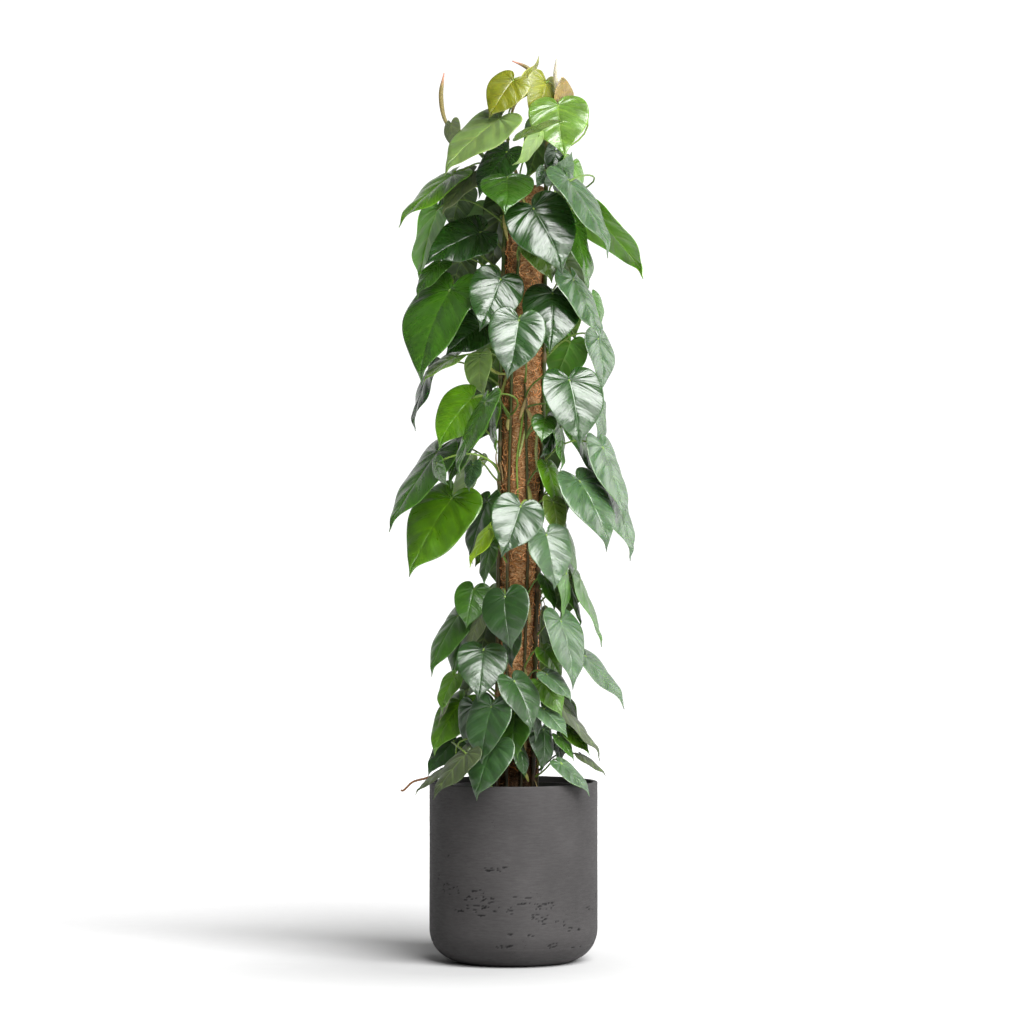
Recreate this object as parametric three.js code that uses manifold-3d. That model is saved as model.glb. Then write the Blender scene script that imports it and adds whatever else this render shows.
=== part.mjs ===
// Potted heartleaf philodendron: leafy vines on a coir pole, in a nursery pot that stands in a planter.
// Millimetres, +Z up. The origin is under the planter's centre, on the surface that it stands on.
// The front, where the leaves are placed one by one, faces -Y.
import * as THREE from "three";
import { mergeVertices } from "three/addons/utils/BufferGeometryUtils.js";
import Module from "manifold-3d";

const wasm = await Module();
wasm.setup();

// Gap between pieces that touch
const FIT = 0.3;

// Planter
const PLANTER_RADIUS = 140;
const PLANTER_HEIGHT = 298;
const PLANTER_WALL = 8;
const PLANTER_FLOOR = 12;
const PLANTER_FOOT_RADIUS = 55;
const PLANTER_RIM_BEVEL = 2;
const PLANTER_SIDES = 32;

// Nursery pot
const NURSERY_BOTTOM_RADIUS = 80;
const NURSERY_TOP_RADIUS = 120;
const NURSERY_RIM_RADIUS = 126;
const NURSERY_RIM_DROP = 14;
const NURSERY_TOP = 289;
const NURSERY_WALL = 2;
const NURSERY_SIDES = 30;
const DRAIN_HOLES = 6;
const DRAIN_RADIUS = 6;
const DRAIN_RING_RADIUS = 55;

// Potting soil
const SOIL_TOP = 270;
const SOIL_MOUND = 6;
const STEM_DEPTH = 60;

// Climbing pole
const POLE_LEAN = 0.016;
const CORE_RADIUS = 12;
const CORE_BOTTOM = 25;
const CORE_TOP = 1268;
const SLEEVE_RADIUS = 31.5;
const SLEEVE_BOTTOM = 60;
const SLEEVE_TOP = 1288;
const SLEEVE_EDGE = 8;
const POLE_SIDES = 20;

// Stems, stalks and blades
const STEM_RADIUS = 3.8;
const STEM_SIDES = 5;
const STEM_STEP = 70;
const STEM_CLEAR = 0.8;
const STEM_TIP_SHARE = 0.3;
const STALK_RADIUS = 1.7;
const STALK_STEPS = 3;
const STALK_TIP_SHARE = 0.25;
const STALK_DIVISIONS = 24;
const BLADE_THICKNESS = 1.1;
const BLADE_ASPECT = 0.9;
const BLADE_GAP = 1.8;
const ROD_GAP = 1.3;
const SMALLEST_TURN_WIDTH = 0.14;

// How leaves hang: tilt out of the view in radians, and the least distance in front of the pole's axis in mm
const USUAL_TILT = 0.17;
const LARGEST_TILT = 0.85;
const LEAST_FRONT = 10;
const TURN_UPWARD = 0.6;

// Fold along the midrib and arch from stalk to tip, as shares of the length
const FOLD = [-0.06, 0.28];
const ARCH = [0.03, 0.1];

// Stalks: where they join the blade, how high over the soil they start, and how far they lean out of the stem
const STALK_JOINT = 0.05;
const STALK_LOWEST = 12;
const STALK_OUT = 0.35;
const STALK_UP = 0.25;
const STALK_IN = 0.3;

// Room that leaves and stalks leave round the pot, the pole and each other
const OVER_RIM = 4;
const OUTSIDE_RIM = 3;
const INSIDE_RIM = 9;
const OVER_SOIL = 4;
const POLE_END_GAP = 6;
const POLE_CLEAR = 1;
const ROD_CLEAR = 0.8;

// Level view from the front in which the leaves are measured: focal length and middle in pixels, eye in mm
const FOCAL = 3944;
const FRAME_MIDDLE = 512;
const EYE_X = -2.5;
const EYE_Z = 745;
const EYE_DISTANCE = 6550;

// Heart outline on the right half: along the midrib from the stalk, and across, as shares of length and width
const HEART = [
  [-0.16, -0.16],
  [-0.12, -0.37],
  [0.2, -0.5],
  [0.56, -0.4],
  [0.83, -0.16],
];
const MIDRIB = [0.25, 0.6];

// Vines on the pole: direction round the pole in degrees at each height, and free points above the pole
const VINES = [
  { name: "vine_left", turns: [[200, 208], [650, 192], [1000, 186], [1250, 200]],
    free: [[-40, -14, 1321], [-72, -20, 1355], [-94, -22, 1373], [-112, -22, 1391], [-120, -22, 1433],
      [-115, -22, 1472]] },
  { name: "vine_front_left", turns: [[200, 246], [700, 234], [1000, 240], [1270, 262]],
    free: [[-9, -30, 1346], [-3, -24, 1404], [10, -20, 1440], [29, -22, 1476]] },
  { name: "vine_front", turns: [[200, 280], [700, 292], [960, 276]], free: [] },
  { name: "vine_right", turns: [[200, 318], [600, 322], [760, 342], [1000, 345], [1280, 338]],
    free: [[57, -8, 1363], [64, -7, 1400], [66, -6, 1429], [62, -7, 1447], [54, -8, 1458], [36, -10, 1468],
      [22, -10, 1482], [-2, -10, 1493]] },
  { name: "vine_back_right", turns: [[200, 20], [700, 30], [1180, 25]], free: [] },
  { name: "vine_back", turns: [[200, 80], [700, 90], [1240, 75]], free: [] },
  { name: "vine_back_left", turns: [[200, 140], [700, 132], [1100, 145]], free: [] },
];

// A root of the left vine that hangs out over the rim
const RIM_ROOT = {
  owner: "vine_left",
  radius: 2,
  route: [[-32, -14, 326], [-62, -20, 326], [-100, -24, 318], [-147, -24, 304], [-167, -24, 298],
    [-183, -24, 284], [-187, -24, 285]],
};

// Leaves seen from the front, from the inner ones to the outer: stalk end and tip in the view's pixels,
// seen width in pixels, and the distance of the blade from the pole's axis in mm, negative behind the pole
const SEEN_LEAVES = [
  // Crown
  [514, 79, 490, 118, 38, 48],
  [501, 117, 442, 171, 42, 95],
  [454, 173, 398, 225, 25, 104],
  [474, 172, 442, 214, 24, 70],
  [451, 123, 456, 149, 17, 50],
  [508, 150, 478, 197, 36, 80],
  [507, 175, 508, 214, 54, 125],
  [558, 102, 562, 158, 60, 105],
  [521, 134, 569, 120, 12, 150],
  [539, 134, 515, 166, 14, 115],
  [546, 80, 532, 123, 34, 50],
  [563, 106, 563, 75, 20, 75],
  [516, 98, 540, 58, 12, 30],
  [558, 91, 557, 58, 9, 62],
  [556, 150, 548, 182, 23, 75],
  [545, 170, 536, 187, 14, 95],
  [554, 183, 573, 153, 22, 100],
  [573, 163, 567, 205, 22, 85],
  // Shoulders
  [438, 207, 420, 284, 26, -60],
  [440, 262, 416, 297, 20, 70],
  [482, 231, 424, 261, 46, 120],
  [567, 177, 610, 254, 30, 120],
  [589, 210, 645, 275, 30, -60],
  [532, 206, 566, 273, 66, 150],
  [533, 239, 554, 282, 36, 115],
  [575, 222, 587, 293, 22, 85],
  // Upper middle
  [572, 277, 602, 342, 27, 130],
  [592, 294, 601, 326, 18, 70],
  [598, 337, 603, 391, 27, 110],
  [553, 291, 551, 353, 60, 125],
  [501, 277, 481, 331, 54, 130],
  [519, 318, 510, 379, 57, 160],
  [451, 287, 419, 382, 61, 125],
  [485, 323, 446, 355, 42, 100],
  [457, 356, 422, 381, 14, 90],
  [430, 368, 412, 429, 13, 60],
  [480, 356, 483, 396, 28, 75],
  [571, 341, 553, 385, 42, -50],
  // Middle
  [474, 396, 437, 447, 48, 85],
  [474, 425, 449, 487, 26, 88],
  [569, 378, 579, 447, 60, 145],
  [602, 406, 597, 451, 13, 40],
  [602, 445, 625, 521, 28, 90],
  [609, 480, 634, 558, 28, 70],
  [572, 424, 595, 480, 18, 80],
  [560, 425, 562, 471, 11, 90],
  [556, 420, 542, 459, 20, 80],
  [545, 418, 541, 442, 26, 105],
  [486, 400, 456, 473, 20, 104],
  [492, 398, 496, 453, 10, 70],
  [473, 464, 469, 491, 17, 95],
  [438, 450, 388, 529, 32, 60],
  [453, 496, 409, 575, 60, 125],
  [488, 500, 470, 562, 24, 75],
  [490, 528, 469, 566, 14, 90],
  [491, 545, 483, 585, 16, 95],
  [548, 466, 557, 510, 20, 80],
  [578, 479, 607, 549, 43, 130],
  [553, 501, 556, 537, 24, 100],
  [521, 505, 504, 557, 53, 150],
  // Lower middle
  [546, 533, 555, 589, 43, 140],
  [565, 527, 576, 575, 12, 90],
  [566, 550, 573, 580, 7, 80],
  [566, 572, 562, 619, 13, 110],
  [569, 586, 582, 627, 8, 80],
  [579, 578, 603, 645, 9, 60],
  [545, 578, 555, 611, 13, 85],
  [505, 595, 512, 650, 48, 140],
  [512, 628, 511, 669, 19, 90],
  [481, 613, 469, 655, 17, 75],
  [459, 614, 429, 674, 27, 95],
  [474, 588, 467, 628, 36, 95],
  [472, 616, 452, 681, 24, 60],
  [560, 619, 573, 688, 35, 125],
  [544, 650, 561, 679, 20, 90],
  [584, 655, 625, 707, 17, 60],
  // Skirt
  [483, 649, 479, 700, 51, 140],
  [455, 676, 440, 712, 18, 85],
  [463, 700, 432, 754, 34, 115],
  [455, 680, 438, 725, 6, 60],
  [513, 680, 533, 731, 34, 140],
  [515, 712, 515, 760, 36, 110],
  [533, 700, 536, 742, 12, 90],
  [541, 682, 562, 716, 27, 100],
  [546, 674, 572, 701, 17, 110],
  [557, 701, 603, 757, 6, 90],
  [542, 708, 567, 737, 20, 90],
  [567, 727, 590, 754, 14, 90],
  [558, 736, 574, 760, 11, 80],
  [557, 742, 560, 763, 12, 60],
  [543, 728, 542, 772, 24, 70],
  [475, 704, 487, 760, 40, 115],
  [492, 705, 481, 764, 42, 150],
  [455, 740, 428, 775, 24, 100],
  // Over the rim
  [495, 744, 477, 799, 40, 148],
  [468, 752, 433, 797, 21, 150],
  [445, 768, 415, 793, 6, 100],
  [581, 755, 606, 775, 6, 100],
  [560, 763, 591, 794, 14, 140],
  [462, 752, 450, 778, 22, 80],
  [520, 750, 524, 778, 15, 70],
  // Deep between the others
  [462, 190, 452, 229, 34, -45],
  [540, 128, 526, 177, 34, -28],
  [462, 257, 449, 300, 34, -45],
  [501, 214, 493, 270, 36, -50],
  [490, 620, 479, 668, 36, -60],
  [500, 196, 486, 226, 26, -40],
  [436, 462, 447, 486, 14, 90],
];

// Leaves round the back, by rule
const BACK_LEAVES = 24;
const BACK_BOTTOM = 350;
const BACK_TOP = 1330;
const BACK_SPREAD = 0.28;
const GOLDEN_TURN = 2.39996;
const BACK_SEED = 17;
const BACK_REACH = [70, 115];
const BACK_OUTWARD = [0.15, 0.55];
const BACK_SIDEWAYS = [-0.45, 0.45];
const BACK_ROLL = [-0.45, 0.45];
const BACK_LENGTH = [68, 102];

// Search for a clear place: steps outward in mm, how far below the blade a stalk leaves its stem, and its bow
const PUSH_STEP = 4;
const PUSHES = 26;
const STALK_DROPS = [30, 50, 12, 75, -8, 100, -30, 130];
const STALK_BOWS = [0, 0.22, -0.22, 0.45, -0.45, 0.7, -0.7];
const STEMS_TRIED = 5;
const STEM_SHORTFALL = 130;

const UP = new THREE.Vector3(0, 0, 1);
const TO_FRONT = new THREE.Vector3(0, -1, 0);

// Solids

function toSolid(geometry) {
  const bare = geometry.clone();
  bare.deleteAttribute("normal");
  bare.deleteAttribute("uv");
  const merged = mergeVertices(bare, 1e-3);
  return new wasm.Manifold(new wasm.Mesh({
    numProp: 3,
    vertProperties: new Float32Array(merged.attributes.position.array),
    triVerts: new Uint32Array(merged.index.array),
  }));
}

function toGeometry(solid) {
  const mesh = solid.getMesh();
  const geometry = new THREE.BufferGeometry();
  geometry.setAttribute("position", new THREE.BufferAttribute(mesh.vertProperties, mesh.numProp));
  geometry.setIndex(new THREE.BufferAttribute(mesh.triVerts, 1));
  geometry.computeVertexNormals();
  return geometry;
}

function finish(color, roughness) {
  return new THREE.MeshStandardMaterial({ color, roughness, metalness: 0 });
}

function addPiece(group, name, geometry, material) {
  const mesh = new THREE.Mesh(geometry, material);
  mesh.name = name;
  group.add(mesh);
}

function lathe(profile, sides) {
  const geometry = new THREE.LatheGeometry(profile.map(([r, z]) => new THREE.Vector2(r, z)), sides);
  return geometry.rotateX(Math.PI / 2);
}

function arc(centreR, centreZ, radius, fromDegrees, toDegrees, steps) {
  const points = [];
  for (let i = 0; i <= steps; i += 1) {
    const angle = THREE.MathUtils.degToRad(fromDegrees + ((toDegrees - fromDegrees) * i) / steps);
    points.push([centreR + radius * Math.cos(angle), centreZ + radius * Math.sin(angle)]);
  }
  return points;
}

function uprightRod(x, y, bottom, top, radius, sides) {
  const geometry = new THREE.CylinderGeometry(radius, radius, top - bottom, sides);
  return geometry.rotateX(Math.PI / 2).translate(x, y, (bottom + top) / 2);
}

function tube(curve, radius, sides, steps) {
  const corners = [];
  for (let i = 0; i < sides; i += 1) {
    const angle = (2 * Math.PI * i) / sides;
    corners.push(new THREE.Vector2(radius * Math.cos(angle), radius * Math.sin(angle)));
  }
  return new THREE.ExtrudeGeometry(new THREE.Shape(corners), { extrudePath: curve, steps });
}

// A tube whose rings shrink from full size at the start to a share of it at the end
function taperedTube(curve, radius, sides, steps, tipShare) {
  const geometry = tube(curve, radius, sides, steps);
  const centres = curve.getSpacedPoints(steps);
  const places = geometry.attributes.position;
  const point = new THREE.Vector3();
  for (let i = 0; i < places.count; i += 1) {
    point.fromBufferAttribute(places, i);
    const gaps = centres.map((centre) => centre.distanceTo(point));
    const ring = gaps.indexOf(Math.min(...gaps));
    const last = ring === steps;
    const share = last ? tipShare : 1 - (0.25 * ring) / steps;
    point.sub(centres[ring]).multiplyScalar(share).add(centres[ring]);
    places.setXYZ(i, point.x, point.y, point.z);
  }
  return geometry;
}

// Planter, nursery pot and soil

function planterGeometry() {
  const innerFoot = PLANTER_FOOT_RADIUS - PLANTER_WALL;
  const footCentre = PLANTER_RADIUS - PLANTER_FOOT_RADIUS;
  const inside = PLANTER_RADIUS - PLANTER_WALL;
  return lathe([
    [0, 0],
    ...arc(footCentre, PLANTER_FOOT_RADIUS, PLANTER_FOOT_RADIUS, -90, 0, 5),
    [PLANTER_RADIUS, PLANTER_HEIGHT - PLANTER_RIM_BEVEL],
    [PLANTER_RADIUS - PLANTER_RIM_BEVEL, PLANTER_HEIGHT],
    [inside + PLANTER_RIM_BEVEL, PLANTER_HEIGHT],
    [inside, PLANTER_HEIGHT - PLANTER_RIM_BEVEL],
    ...arc(footCentre, PLANTER_FLOOR + innerFoot, innerFoot, 0, -90, 4),
    [0, PLANTER_FLOOR],
  ], PLANTER_SIDES);
}

function nurserySolid() {
  const bottom = PLANTER_FLOOR + FIT;
  const rimFoot = NURSERY_TOP - NURSERY_RIM_DROP;
  const cup = toSolid(lathe([
    [0, bottom],
    [NURSERY_BOTTOM_RADIUS, bottom],
    [NURSERY_TOP_RADIUS, rimFoot],
    [NURSERY_RIM_RADIUS, rimFoot],
    [NURSERY_RIM_RADIUS, NURSERY_TOP],
    [NURSERY_RIM_RADIUS - NURSERY_WALL * 2, NURSERY_TOP],
    [NURSERY_TOP_RADIUS - NURSERY_WALL, rimFoot],
    [NURSERY_BOTTOM_RADIUS - NURSERY_WALL, bottom + NURSERY_WALL],
    [0, bottom + NURSERY_WALL],
  ], NURSERY_SIDES));
  let pot = cup;
  for (let i = 0; i < DRAIN_HOLES; i += 1) {
    const angle = (2 * Math.PI * (i + 0.5)) / DRAIN_HOLES;
    const x = DRAIN_RING_RADIUS * Math.cos(angle);
    const y = DRAIN_RING_RADIUS * Math.sin(angle);
    pot = pot.subtract(toSolid(uprightRod(x, y, bottom - 5, bottom + 5, DRAIN_RADIUS, 10)));
  }
  return pot;
}

function soilSolid(stems) {
  const bottom = PLANTER_FLOOR + NURSERY_WALL + 2 * FIT;
  const height = NURSERY_TOP - NURSERY_RIM_DROP - PLANTER_FLOOR;
  const slope = (NURSERY_TOP_RADIUS - NURSERY_BOTTOM_RADIUS) / height;
  const radiusAt = (z) => NURSERY_BOTTOM_RADIUS - NURSERY_WALL - 2 * FIT + slope * (z - bottom);
  let soil = toSolid(lathe([
    [0, bottom],
    [radiusAt(bottom), bottom],
    [radiusAt(SOIL_TOP), SOIL_TOP],
    [radiusAt(SOIL_TOP) * 0.75, SOIL_TOP + SOIL_MOUND * 0.3],
    [radiusAt(SOIL_TOP) * 0.45, SOIL_TOP + SOIL_MOUND * 0.8],
    [0, SOIL_TOP + SOIL_MOUND],
  ], NURSERY_SIDES));
  const coreHole = uprightRod(0, 0, CORE_BOTTOM - FIT, SLEEVE_BOTTOM, CORE_RADIUS + FIT, POLE_SIDES);
  const sleeveHole = uprightRod(0, 0, SLEEVE_BOTTOM - FIT, SOIL_TOP + 60, SLEEVE_RADIUS + FIT, POLE_SIDES);
  const lean = new THREE.Matrix4().makeRotationY(POLE_LEAN);
  soil = soil.subtract(toSolid(coreHole.applyMatrix4(lean)));
  soil = soil.subtract(toSolid(sleeveHole.applyMatrix4(lean)));
  const holeRadius = (STEM_RADIUS + FIT) / Math.cos(Math.PI / 8);
  for (const stem of stems) {
    const foot = stem.points[0];
    const hole = uprightRod(foot.x, foot.y, SOIL_TOP - STEM_DEPTH - FIT, SOIL_TOP + 60, holeRadius, 8);
    soil = soil.subtract(toSolid(hole));
  }
  return soil;
}

// Pole

function coreGeometry() {
  return uprightRod(0, 0, CORE_BOTTOM, CORE_TOP, CORE_RADIUS, POLE_SIDES);
}

function sleeveGeometry() {
  return lathe([
    [CORE_RADIUS + FIT, SLEEVE_BOTTOM],
    [SLEEVE_RADIUS, SLEEVE_BOTTOM],
    [SLEEVE_RADIUS, SLEEVE_TOP - SLEEVE_EDGE],
    [SLEEVE_RADIUS - SLEEVE_EDGE * 0.3, SLEEVE_TOP - SLEEVE_EDGE * 0.3],
    [SLEEVE_RADIUS - SLEEVE_EDGE, SLEEVE_TOP],
    [0, SLEEVE_TOP],
    [0, CORE_TOP + FIT],
    [CORE_RADIUS + FIT, CORE_TOP + FIT],
    [CORE_RADIUS + FIT, SLEEVE_BOTTOM],
  ], POLE_SIDES);
}

function poleAxis(z) {
  return new THREE.Vector3(z * Math.tan(POLE_LEAN), 0, z);
}

const POLE_FOOT = poleAxis(0);
const POLE_END = poleAxis(SLEEVE_TOP - POLE_END_GAP);

// Stems

function turnAt(turns, z) {
  const after = turns.findIndex(([height]) => height >= z);
  if (after === 0) {
    return turns[0][1];
  }
  const [z0, turn0] = turns[after - 1];
  const [z1, turn1] = turns[after];
  return turn0 + ((turn1 - turn0) * (z - z0)) / (z1 - z0);
}

function stemPoints(vine) {
  const reach = SLEEVE_RADIUS + STEM_RADIUS + STEM_CLEAR;
  const top = vine.turns[vine.turns.length - 1][0];
  const points = [];
  const steps = Math.round((top - SOIL_TOP) / STEM_STEP);
  for (let i = 0; i <= steps; i += 1) {
    const z = SOIL_TOP + ((top - SOIL_TOP) * i) / steps;
    const angle = THREE.MathUtils.degToRad(turnAt(vine.turns, z));
    points.push(poleAxis(z).add(new THREE.Vector3(reach * Math.cos(angle), reach * Math.sin(angle), 0)));
  }
  const foot = points[0].clone();
  foot.z = SOIL_TOP - STEM_DEPTH;
  const free = vine.free.map(([x, y, z]) => new THREE.Vector3(x, y, z));
  return [foot, ...points, ...free];
}

function stemAt(points, z) {
  for (let i = 1; i < points.length; i += 1) {
    if (points[i].z >= z) {
      const share = (z - points[i - 1].z) / (points[i].z - points[i - 1].z);
      return points[i - 1].clone().lerp(points[i], share);
    }
  }
  return points[points.length - 1].clone();
}

// Leaf frames: the stalk end, the midrib's direction, the way that the face looks, length and width

function throughPixel(px, py, y) {
  const depth = EYE_DISTANCE + y;
  const x = EYE_X + ((px - FRAME_MIDDLE) * depth) / FOCAL;
  const z = EYE_Z - ((py - FRAME_MIDDLE) * depth) / FOCAL;
  return new THREE.Vector3(x, y, z);
}

function seenLeaf([baseX, baseY, tipX, tipY, seenWidth, reach]) {
  const middle = throughPixel((baseX + tipX) / 2, (baseY + tipY) / 2, 0);
  const aside = middle.x - poleAxis(middle.z).x;
  const away = Math.sign(reach);
  const y = -away * Math.sqrt(Math.max(reach * reach - aside * aside, LEAST_FRONT ** 2));
  const scale = (EYE_DISTANCE + y) / FOCAL;
  const flat = new THREE.Vector3(tipX - baseX, 0, baseY - tipY).multiplyScalar(scale);
  const seenLength = flat.length();
  const width = seenWidth * scale;
  const broad = width > BLADE_ASPECT * seenLength;
  const pitch = broad ? Math.min(Math.acos((BLADE_ASPECT * seenLength) / width), LARGEST_TILT) : USUAL_TILT;
  const length = seenLength / Math.cos(pitch);
  const share = Math.max(Math.min(width / (BLADE_ASPECT * length), 1), SMALLEST_TURN_WIDTH);
  const turn = Math.acos(share);
  const outward = TO_FRONT.clone().multiplyScalar(away);
  const along = flat.normalize().multiplyScalar(Math.cos(pitch)).addScaledVector(outward, Math.sin(pitch));
  const facing = outward.clone().addScaledVector(along, -along.dot(outward)).normalize();
  const across = facing.clone().cross(along);
  const side = new THREE.Vector3(Math.sign(aside), 0, TURN_UPWARD);
  const sign = across.dot(side) > 0 ? 1 : -1;
  const face = facing.multiplyScalar(Math.cos(turn)).addScaledVector(across, sign * Math.sin(turn));
  return { pixel: [baseX, baseY], y, away, base: throughPixel(baseX, baseY, y), along, face, length, share };
}

function pushSeen(leaf, distance) {
  const y = leaf.y - leaf.away * distance;
  const base = throughPixel(leaf.pixel[0], leaf.pixel[1], y);
  const back = leaf.along.y * leaf.length * 0.5;
  return { ...leaf, base: base.setY(y - back) };
}

function mulberry(seed) {
  let state = seed;
  return () => {
    state = (state + 0x6d2b79f5) | 0;
    let value = Math.imul(state ^ (state >>> 15), 1 | state);
    value = (value + Math.imul(value ^ (value >>> 7), 61 | value)) ^ value;
    return ((value ^ (value >>> 14)) >>> 0) / 4294967296;
  };
}

function within([low, high], random) {
  return low + (high - low) * random();
}

function backLeaves() {
  const random = mulberry(BACK_SEED);
  const leaves = [];
  for (let i = 0; i < BACK_LEAVES; i += 1) {
    const z = BACK_BOTTOM + ((BACK_TOP - BACK_BOTTOM) * (i + random())) / BACK_LEAVES;
    const turn = Math.PI * (0.5 + BACK_SPREAD * Math.sin(i * GOLDEN_TURN));
    const outward = new THREE.Vector3(Math.cos(turn), Math.sin(turn), 0);
    const sideways = UP.clone().cross(outward);
    const reach = within(BACK_REACH, random);
    const along = new THREE.Vector3(0, 0, -1);
    along.addScaledVector(outward, within(BACK_OUTWARD, random));
    along.addScaledVector(sideways, within(BACK_SIDEWAYS, random)).normalize();
    const facing = outward.clone().addScaledVector(along, -along.dot(outward)).normalize();
    const across = facing.clone().cross(along);
    const roll = within(BACK_ROLL, random);
    const face = facing.multiplyScalar(Math.cos(roll)).addScaledVector(across, Math.sin(roll));
    const length = within(BACK_LENGTH, random);
    const base = poleAxis(z).addScaledVector(outward, reach);
    leaves.push({ base, outward, along, face, length, share: 1 });
  }
  return leaves;
}

function pushBack(leaf, distance) {
  return { ...leaf, base: leaf.base.clone().addScaledVector(leaf.outward, distance) };
}

// Blade: middle surface points, with the fold along the midrib and the arch from stalk to tip

const LAST = 2 * HEART.length + 1;
const TIP = HEART.length + 1;
const NEAR = LAST + 1;
const FAR = LAST + 2;

// Corner numbers run round the outline, from the stalk along one edge to the tip and back along the other
function bladeFaces() {
  const near = HEART.length - 1;
  const oneHalf = (at) => [
    ...HEART.slice(1).map((_, i) => [at(i), at(i + 1), NEAR]),
    [at(near), FAR, NEAR],
    [at(near), at(near + 1), FAR],
    [at(near + 1), TIP, FAR],
  ];
  const left = oneHalf((i) => i);
  const right = oneHalf((i) => (i === 0 ? 0 : LAST + 1 - i));
  return [...left, ...right.map(([a, b, c]) => [a, c, b])];
}

const FACES = bladeFaces();

function bladeEdges() {
  const seen = new Map();
  for (const face of FACES) {
    for (let i = 0; i < 3; i += 1) {
      const a = Math.min(face[i], face[(i + 1) % 3]);
      const b = Math.max(face[i], face[(i + 1) % 3]);
      seen.set(`${a}-${b}`, [a, b]);
    }
  }
  return [...seen.values()];
}

const EDGES = bladeEdges();

function bladePoint(leaf, u, v) {
  const across = leaf.face.clone().cross(leaf.along);
  const arch = leaf.arch * (u > 0 ? 4 * u * (1 - u) : 4 * u);
  const lift = arch + leaf.fold * Math.abs(v) * BLADE_ASPECT;
  return leaf.base.clone()
    .addScaledVector(leaf.along, u * leaf.length)
    .addScaledVector(across, v * BLADE_ASPECT * leaf.length)
    .addScaledVector(leaf.face, lift * leaf.length);
}

function bladePoints(leaf) {
  const outline = [[0, 0], ...HEART, [1, 0]];
  for (let i = HEART.length - 1; i >= 0; i -= 1) {
    outline.push([HEART[i][0], -HEART[i][1]]);
  }
  const places = [...outline, ...MIDRIB.map((u) => [u, 0])];
  return places.map(([u, v]) => bladePoint(leaf, u, v));
}

function bladeGeometry(leaf) {
  const points = leaf.points;
  const half = leaf.face.clone().multiplyScalar(BLADE_THICKNESS / 2);
  const positions = [];
  for (const side of [1, -1]) {
    for (const point of points) {
      positions.push(...point.clone().addScaledVector(half, side).toArray());
    }
  }
  const under = points.length;
  const index = [];
  for (const [a, b, c] of FACES) {
    index.push(a, b, c, under + a, under + c, under + b);
  }
  for (let i = 0; i <= LAST; i += 1) {
    const j = (i + 1) % (LAST + 1);
    index.push(under + i, under + j, j, under + i, j, i);
  }
  const geometry = new THREE.BufferGeometry();
  geometry.setAttribute("position", new THREE.Float32BufferAttribute(positions, 3));
  geometry.setIndex(index);
  return geometry;
}

// Distances between stretches and blades

function stretchGap(a, b, c, d) {
  const along1 = b.clone().sub(a);
  const along2 = d.clone().sub(c);
  const between = a.clone().sub(c);
  const aa = along1.dot(along1);
  const bb = along2.dot(along2);
  const ab = along1.dot(along2);
  const ac = along1.dot(between);
  const bc = along2.dot(between);
  const spread = aa * bb - ab * ab;
  let s = spread > 1e-9 ? THREE.MathUtils.clamp((ab * bc - ac * bb) / spread, 0, 1) : 0;
  const t = THREE.MathUtils.clamp((ab * s + bc) / bb, 0, 1);
  s = THREE.MathUtils.clamp((ab * t - ac) / aa, 0, 1);
  return between.addScaledVector(along1, s).addScaledVector(along2, -t).length();
}

function overFace(point, face) {
  const away = point.clone().sub(face.a);
  const d1 = away.dot(face.ab);
  const d2 = away.dot(face.ac);
  const v = (face.cc * d1 - face.bc * d2) / face.area;
  const w = (face.bb * d2 - face.bc * d1) / face.area;
  return v >= 0 && w >= 0 && v + w <= 1;
}

function faceGap(a, b, face) {
  const high = a.clone().sub(face.a).dot(face.normal);
  const low = b.clone().sub(face.a).dot(face.normal);
  if (high * low < 0 && overFace(a.clone().lerp(b, high / (high - low)), face)) {
    return 0;
  }
  const gapA = overFace(a, face) ? Math.abs(high) : Infinity;
  const gapB = overFace(b, face) ? Math.abs(low) : Infinity;
  return Math.min(gapA, gapB);
}

function makeFace(points, [i, j, k]) {
  const a = points[i];
  const ab = points[j].clone().sub(a);
  const ac = points[k].clone().sub(a);
  const bb = ab.dot(ab);
  const cc = ac.dot(ac);
  const bc = ab.dot(ac);
  return { a, ab, ac, bb, cc, bc, area: bb * cc - bc * bc, normal: ab.clone().cross(ac).normalize() };
}

function tooClose(stretches, blade, gap) {
  for (const [a, b] of stretches) {
    const reach = a.distanceTo(b) / 2 + blade.size + gap;
    if (a.clone().add(b).multiplyScalar(0.5).distanceTo(blade.centre) > reach) {
      continue;
    }
    if (blade.edges.some(([c, d]) => stretchGap(a, b, c, d) < gap)) {
      return true;
    }
    if (blade.faces.some((face) => faceGap(a, b, face) < gap)) {
      return true;
    }
  }
  return false;
}

function makeBlade(leaf) {
  const points = bladePoints(leaf);
  const centre = leaf.base.clone().addScaledVector(leaf.along, leaf.length * 0.42);
  const size = Math.max(...points.map((point) => point.distanceTo(centre)));
  const edges = EDGES.map(([i, j]) => [points[i], points[j]]);
  const faces = FACES.map((face) => makeFace(points, face));
  return { ...leaf, points, centre, size, edges, faces };
}

function bladesCross(one, other) {
  if (one.centre.distanceTo(other.centre) > one.size + other.size + BLADE_GAP) {
    return false;
  }
  return tooClose(one.edges, other, BLADE_GAP) || tooClose(other.edges, one, BLADE_GAP);
}

function stretchesOf(points) {
  return points.slice(1).map((point, i) => [points[i], point]);
}

// The planter's wall and the soil keep leaves out below the rim

function hitsPot(point) {
  if (point.z > PLANTER_HEIGHT + OVER_RIM) {
    return false;
  }
  const radius = Math.hypot(point.x, point.y);
  const outside = radius > PLANTER_RADIUS + OUTSIDE_RIM;
  const inside = radius < NURSERY_RIM_RADIUS - INSIDE_RIM && point.z > SOIL_TOP + SOIL_MOUND + OVER_SOIL;
  return !outside && !inside;
}

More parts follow.
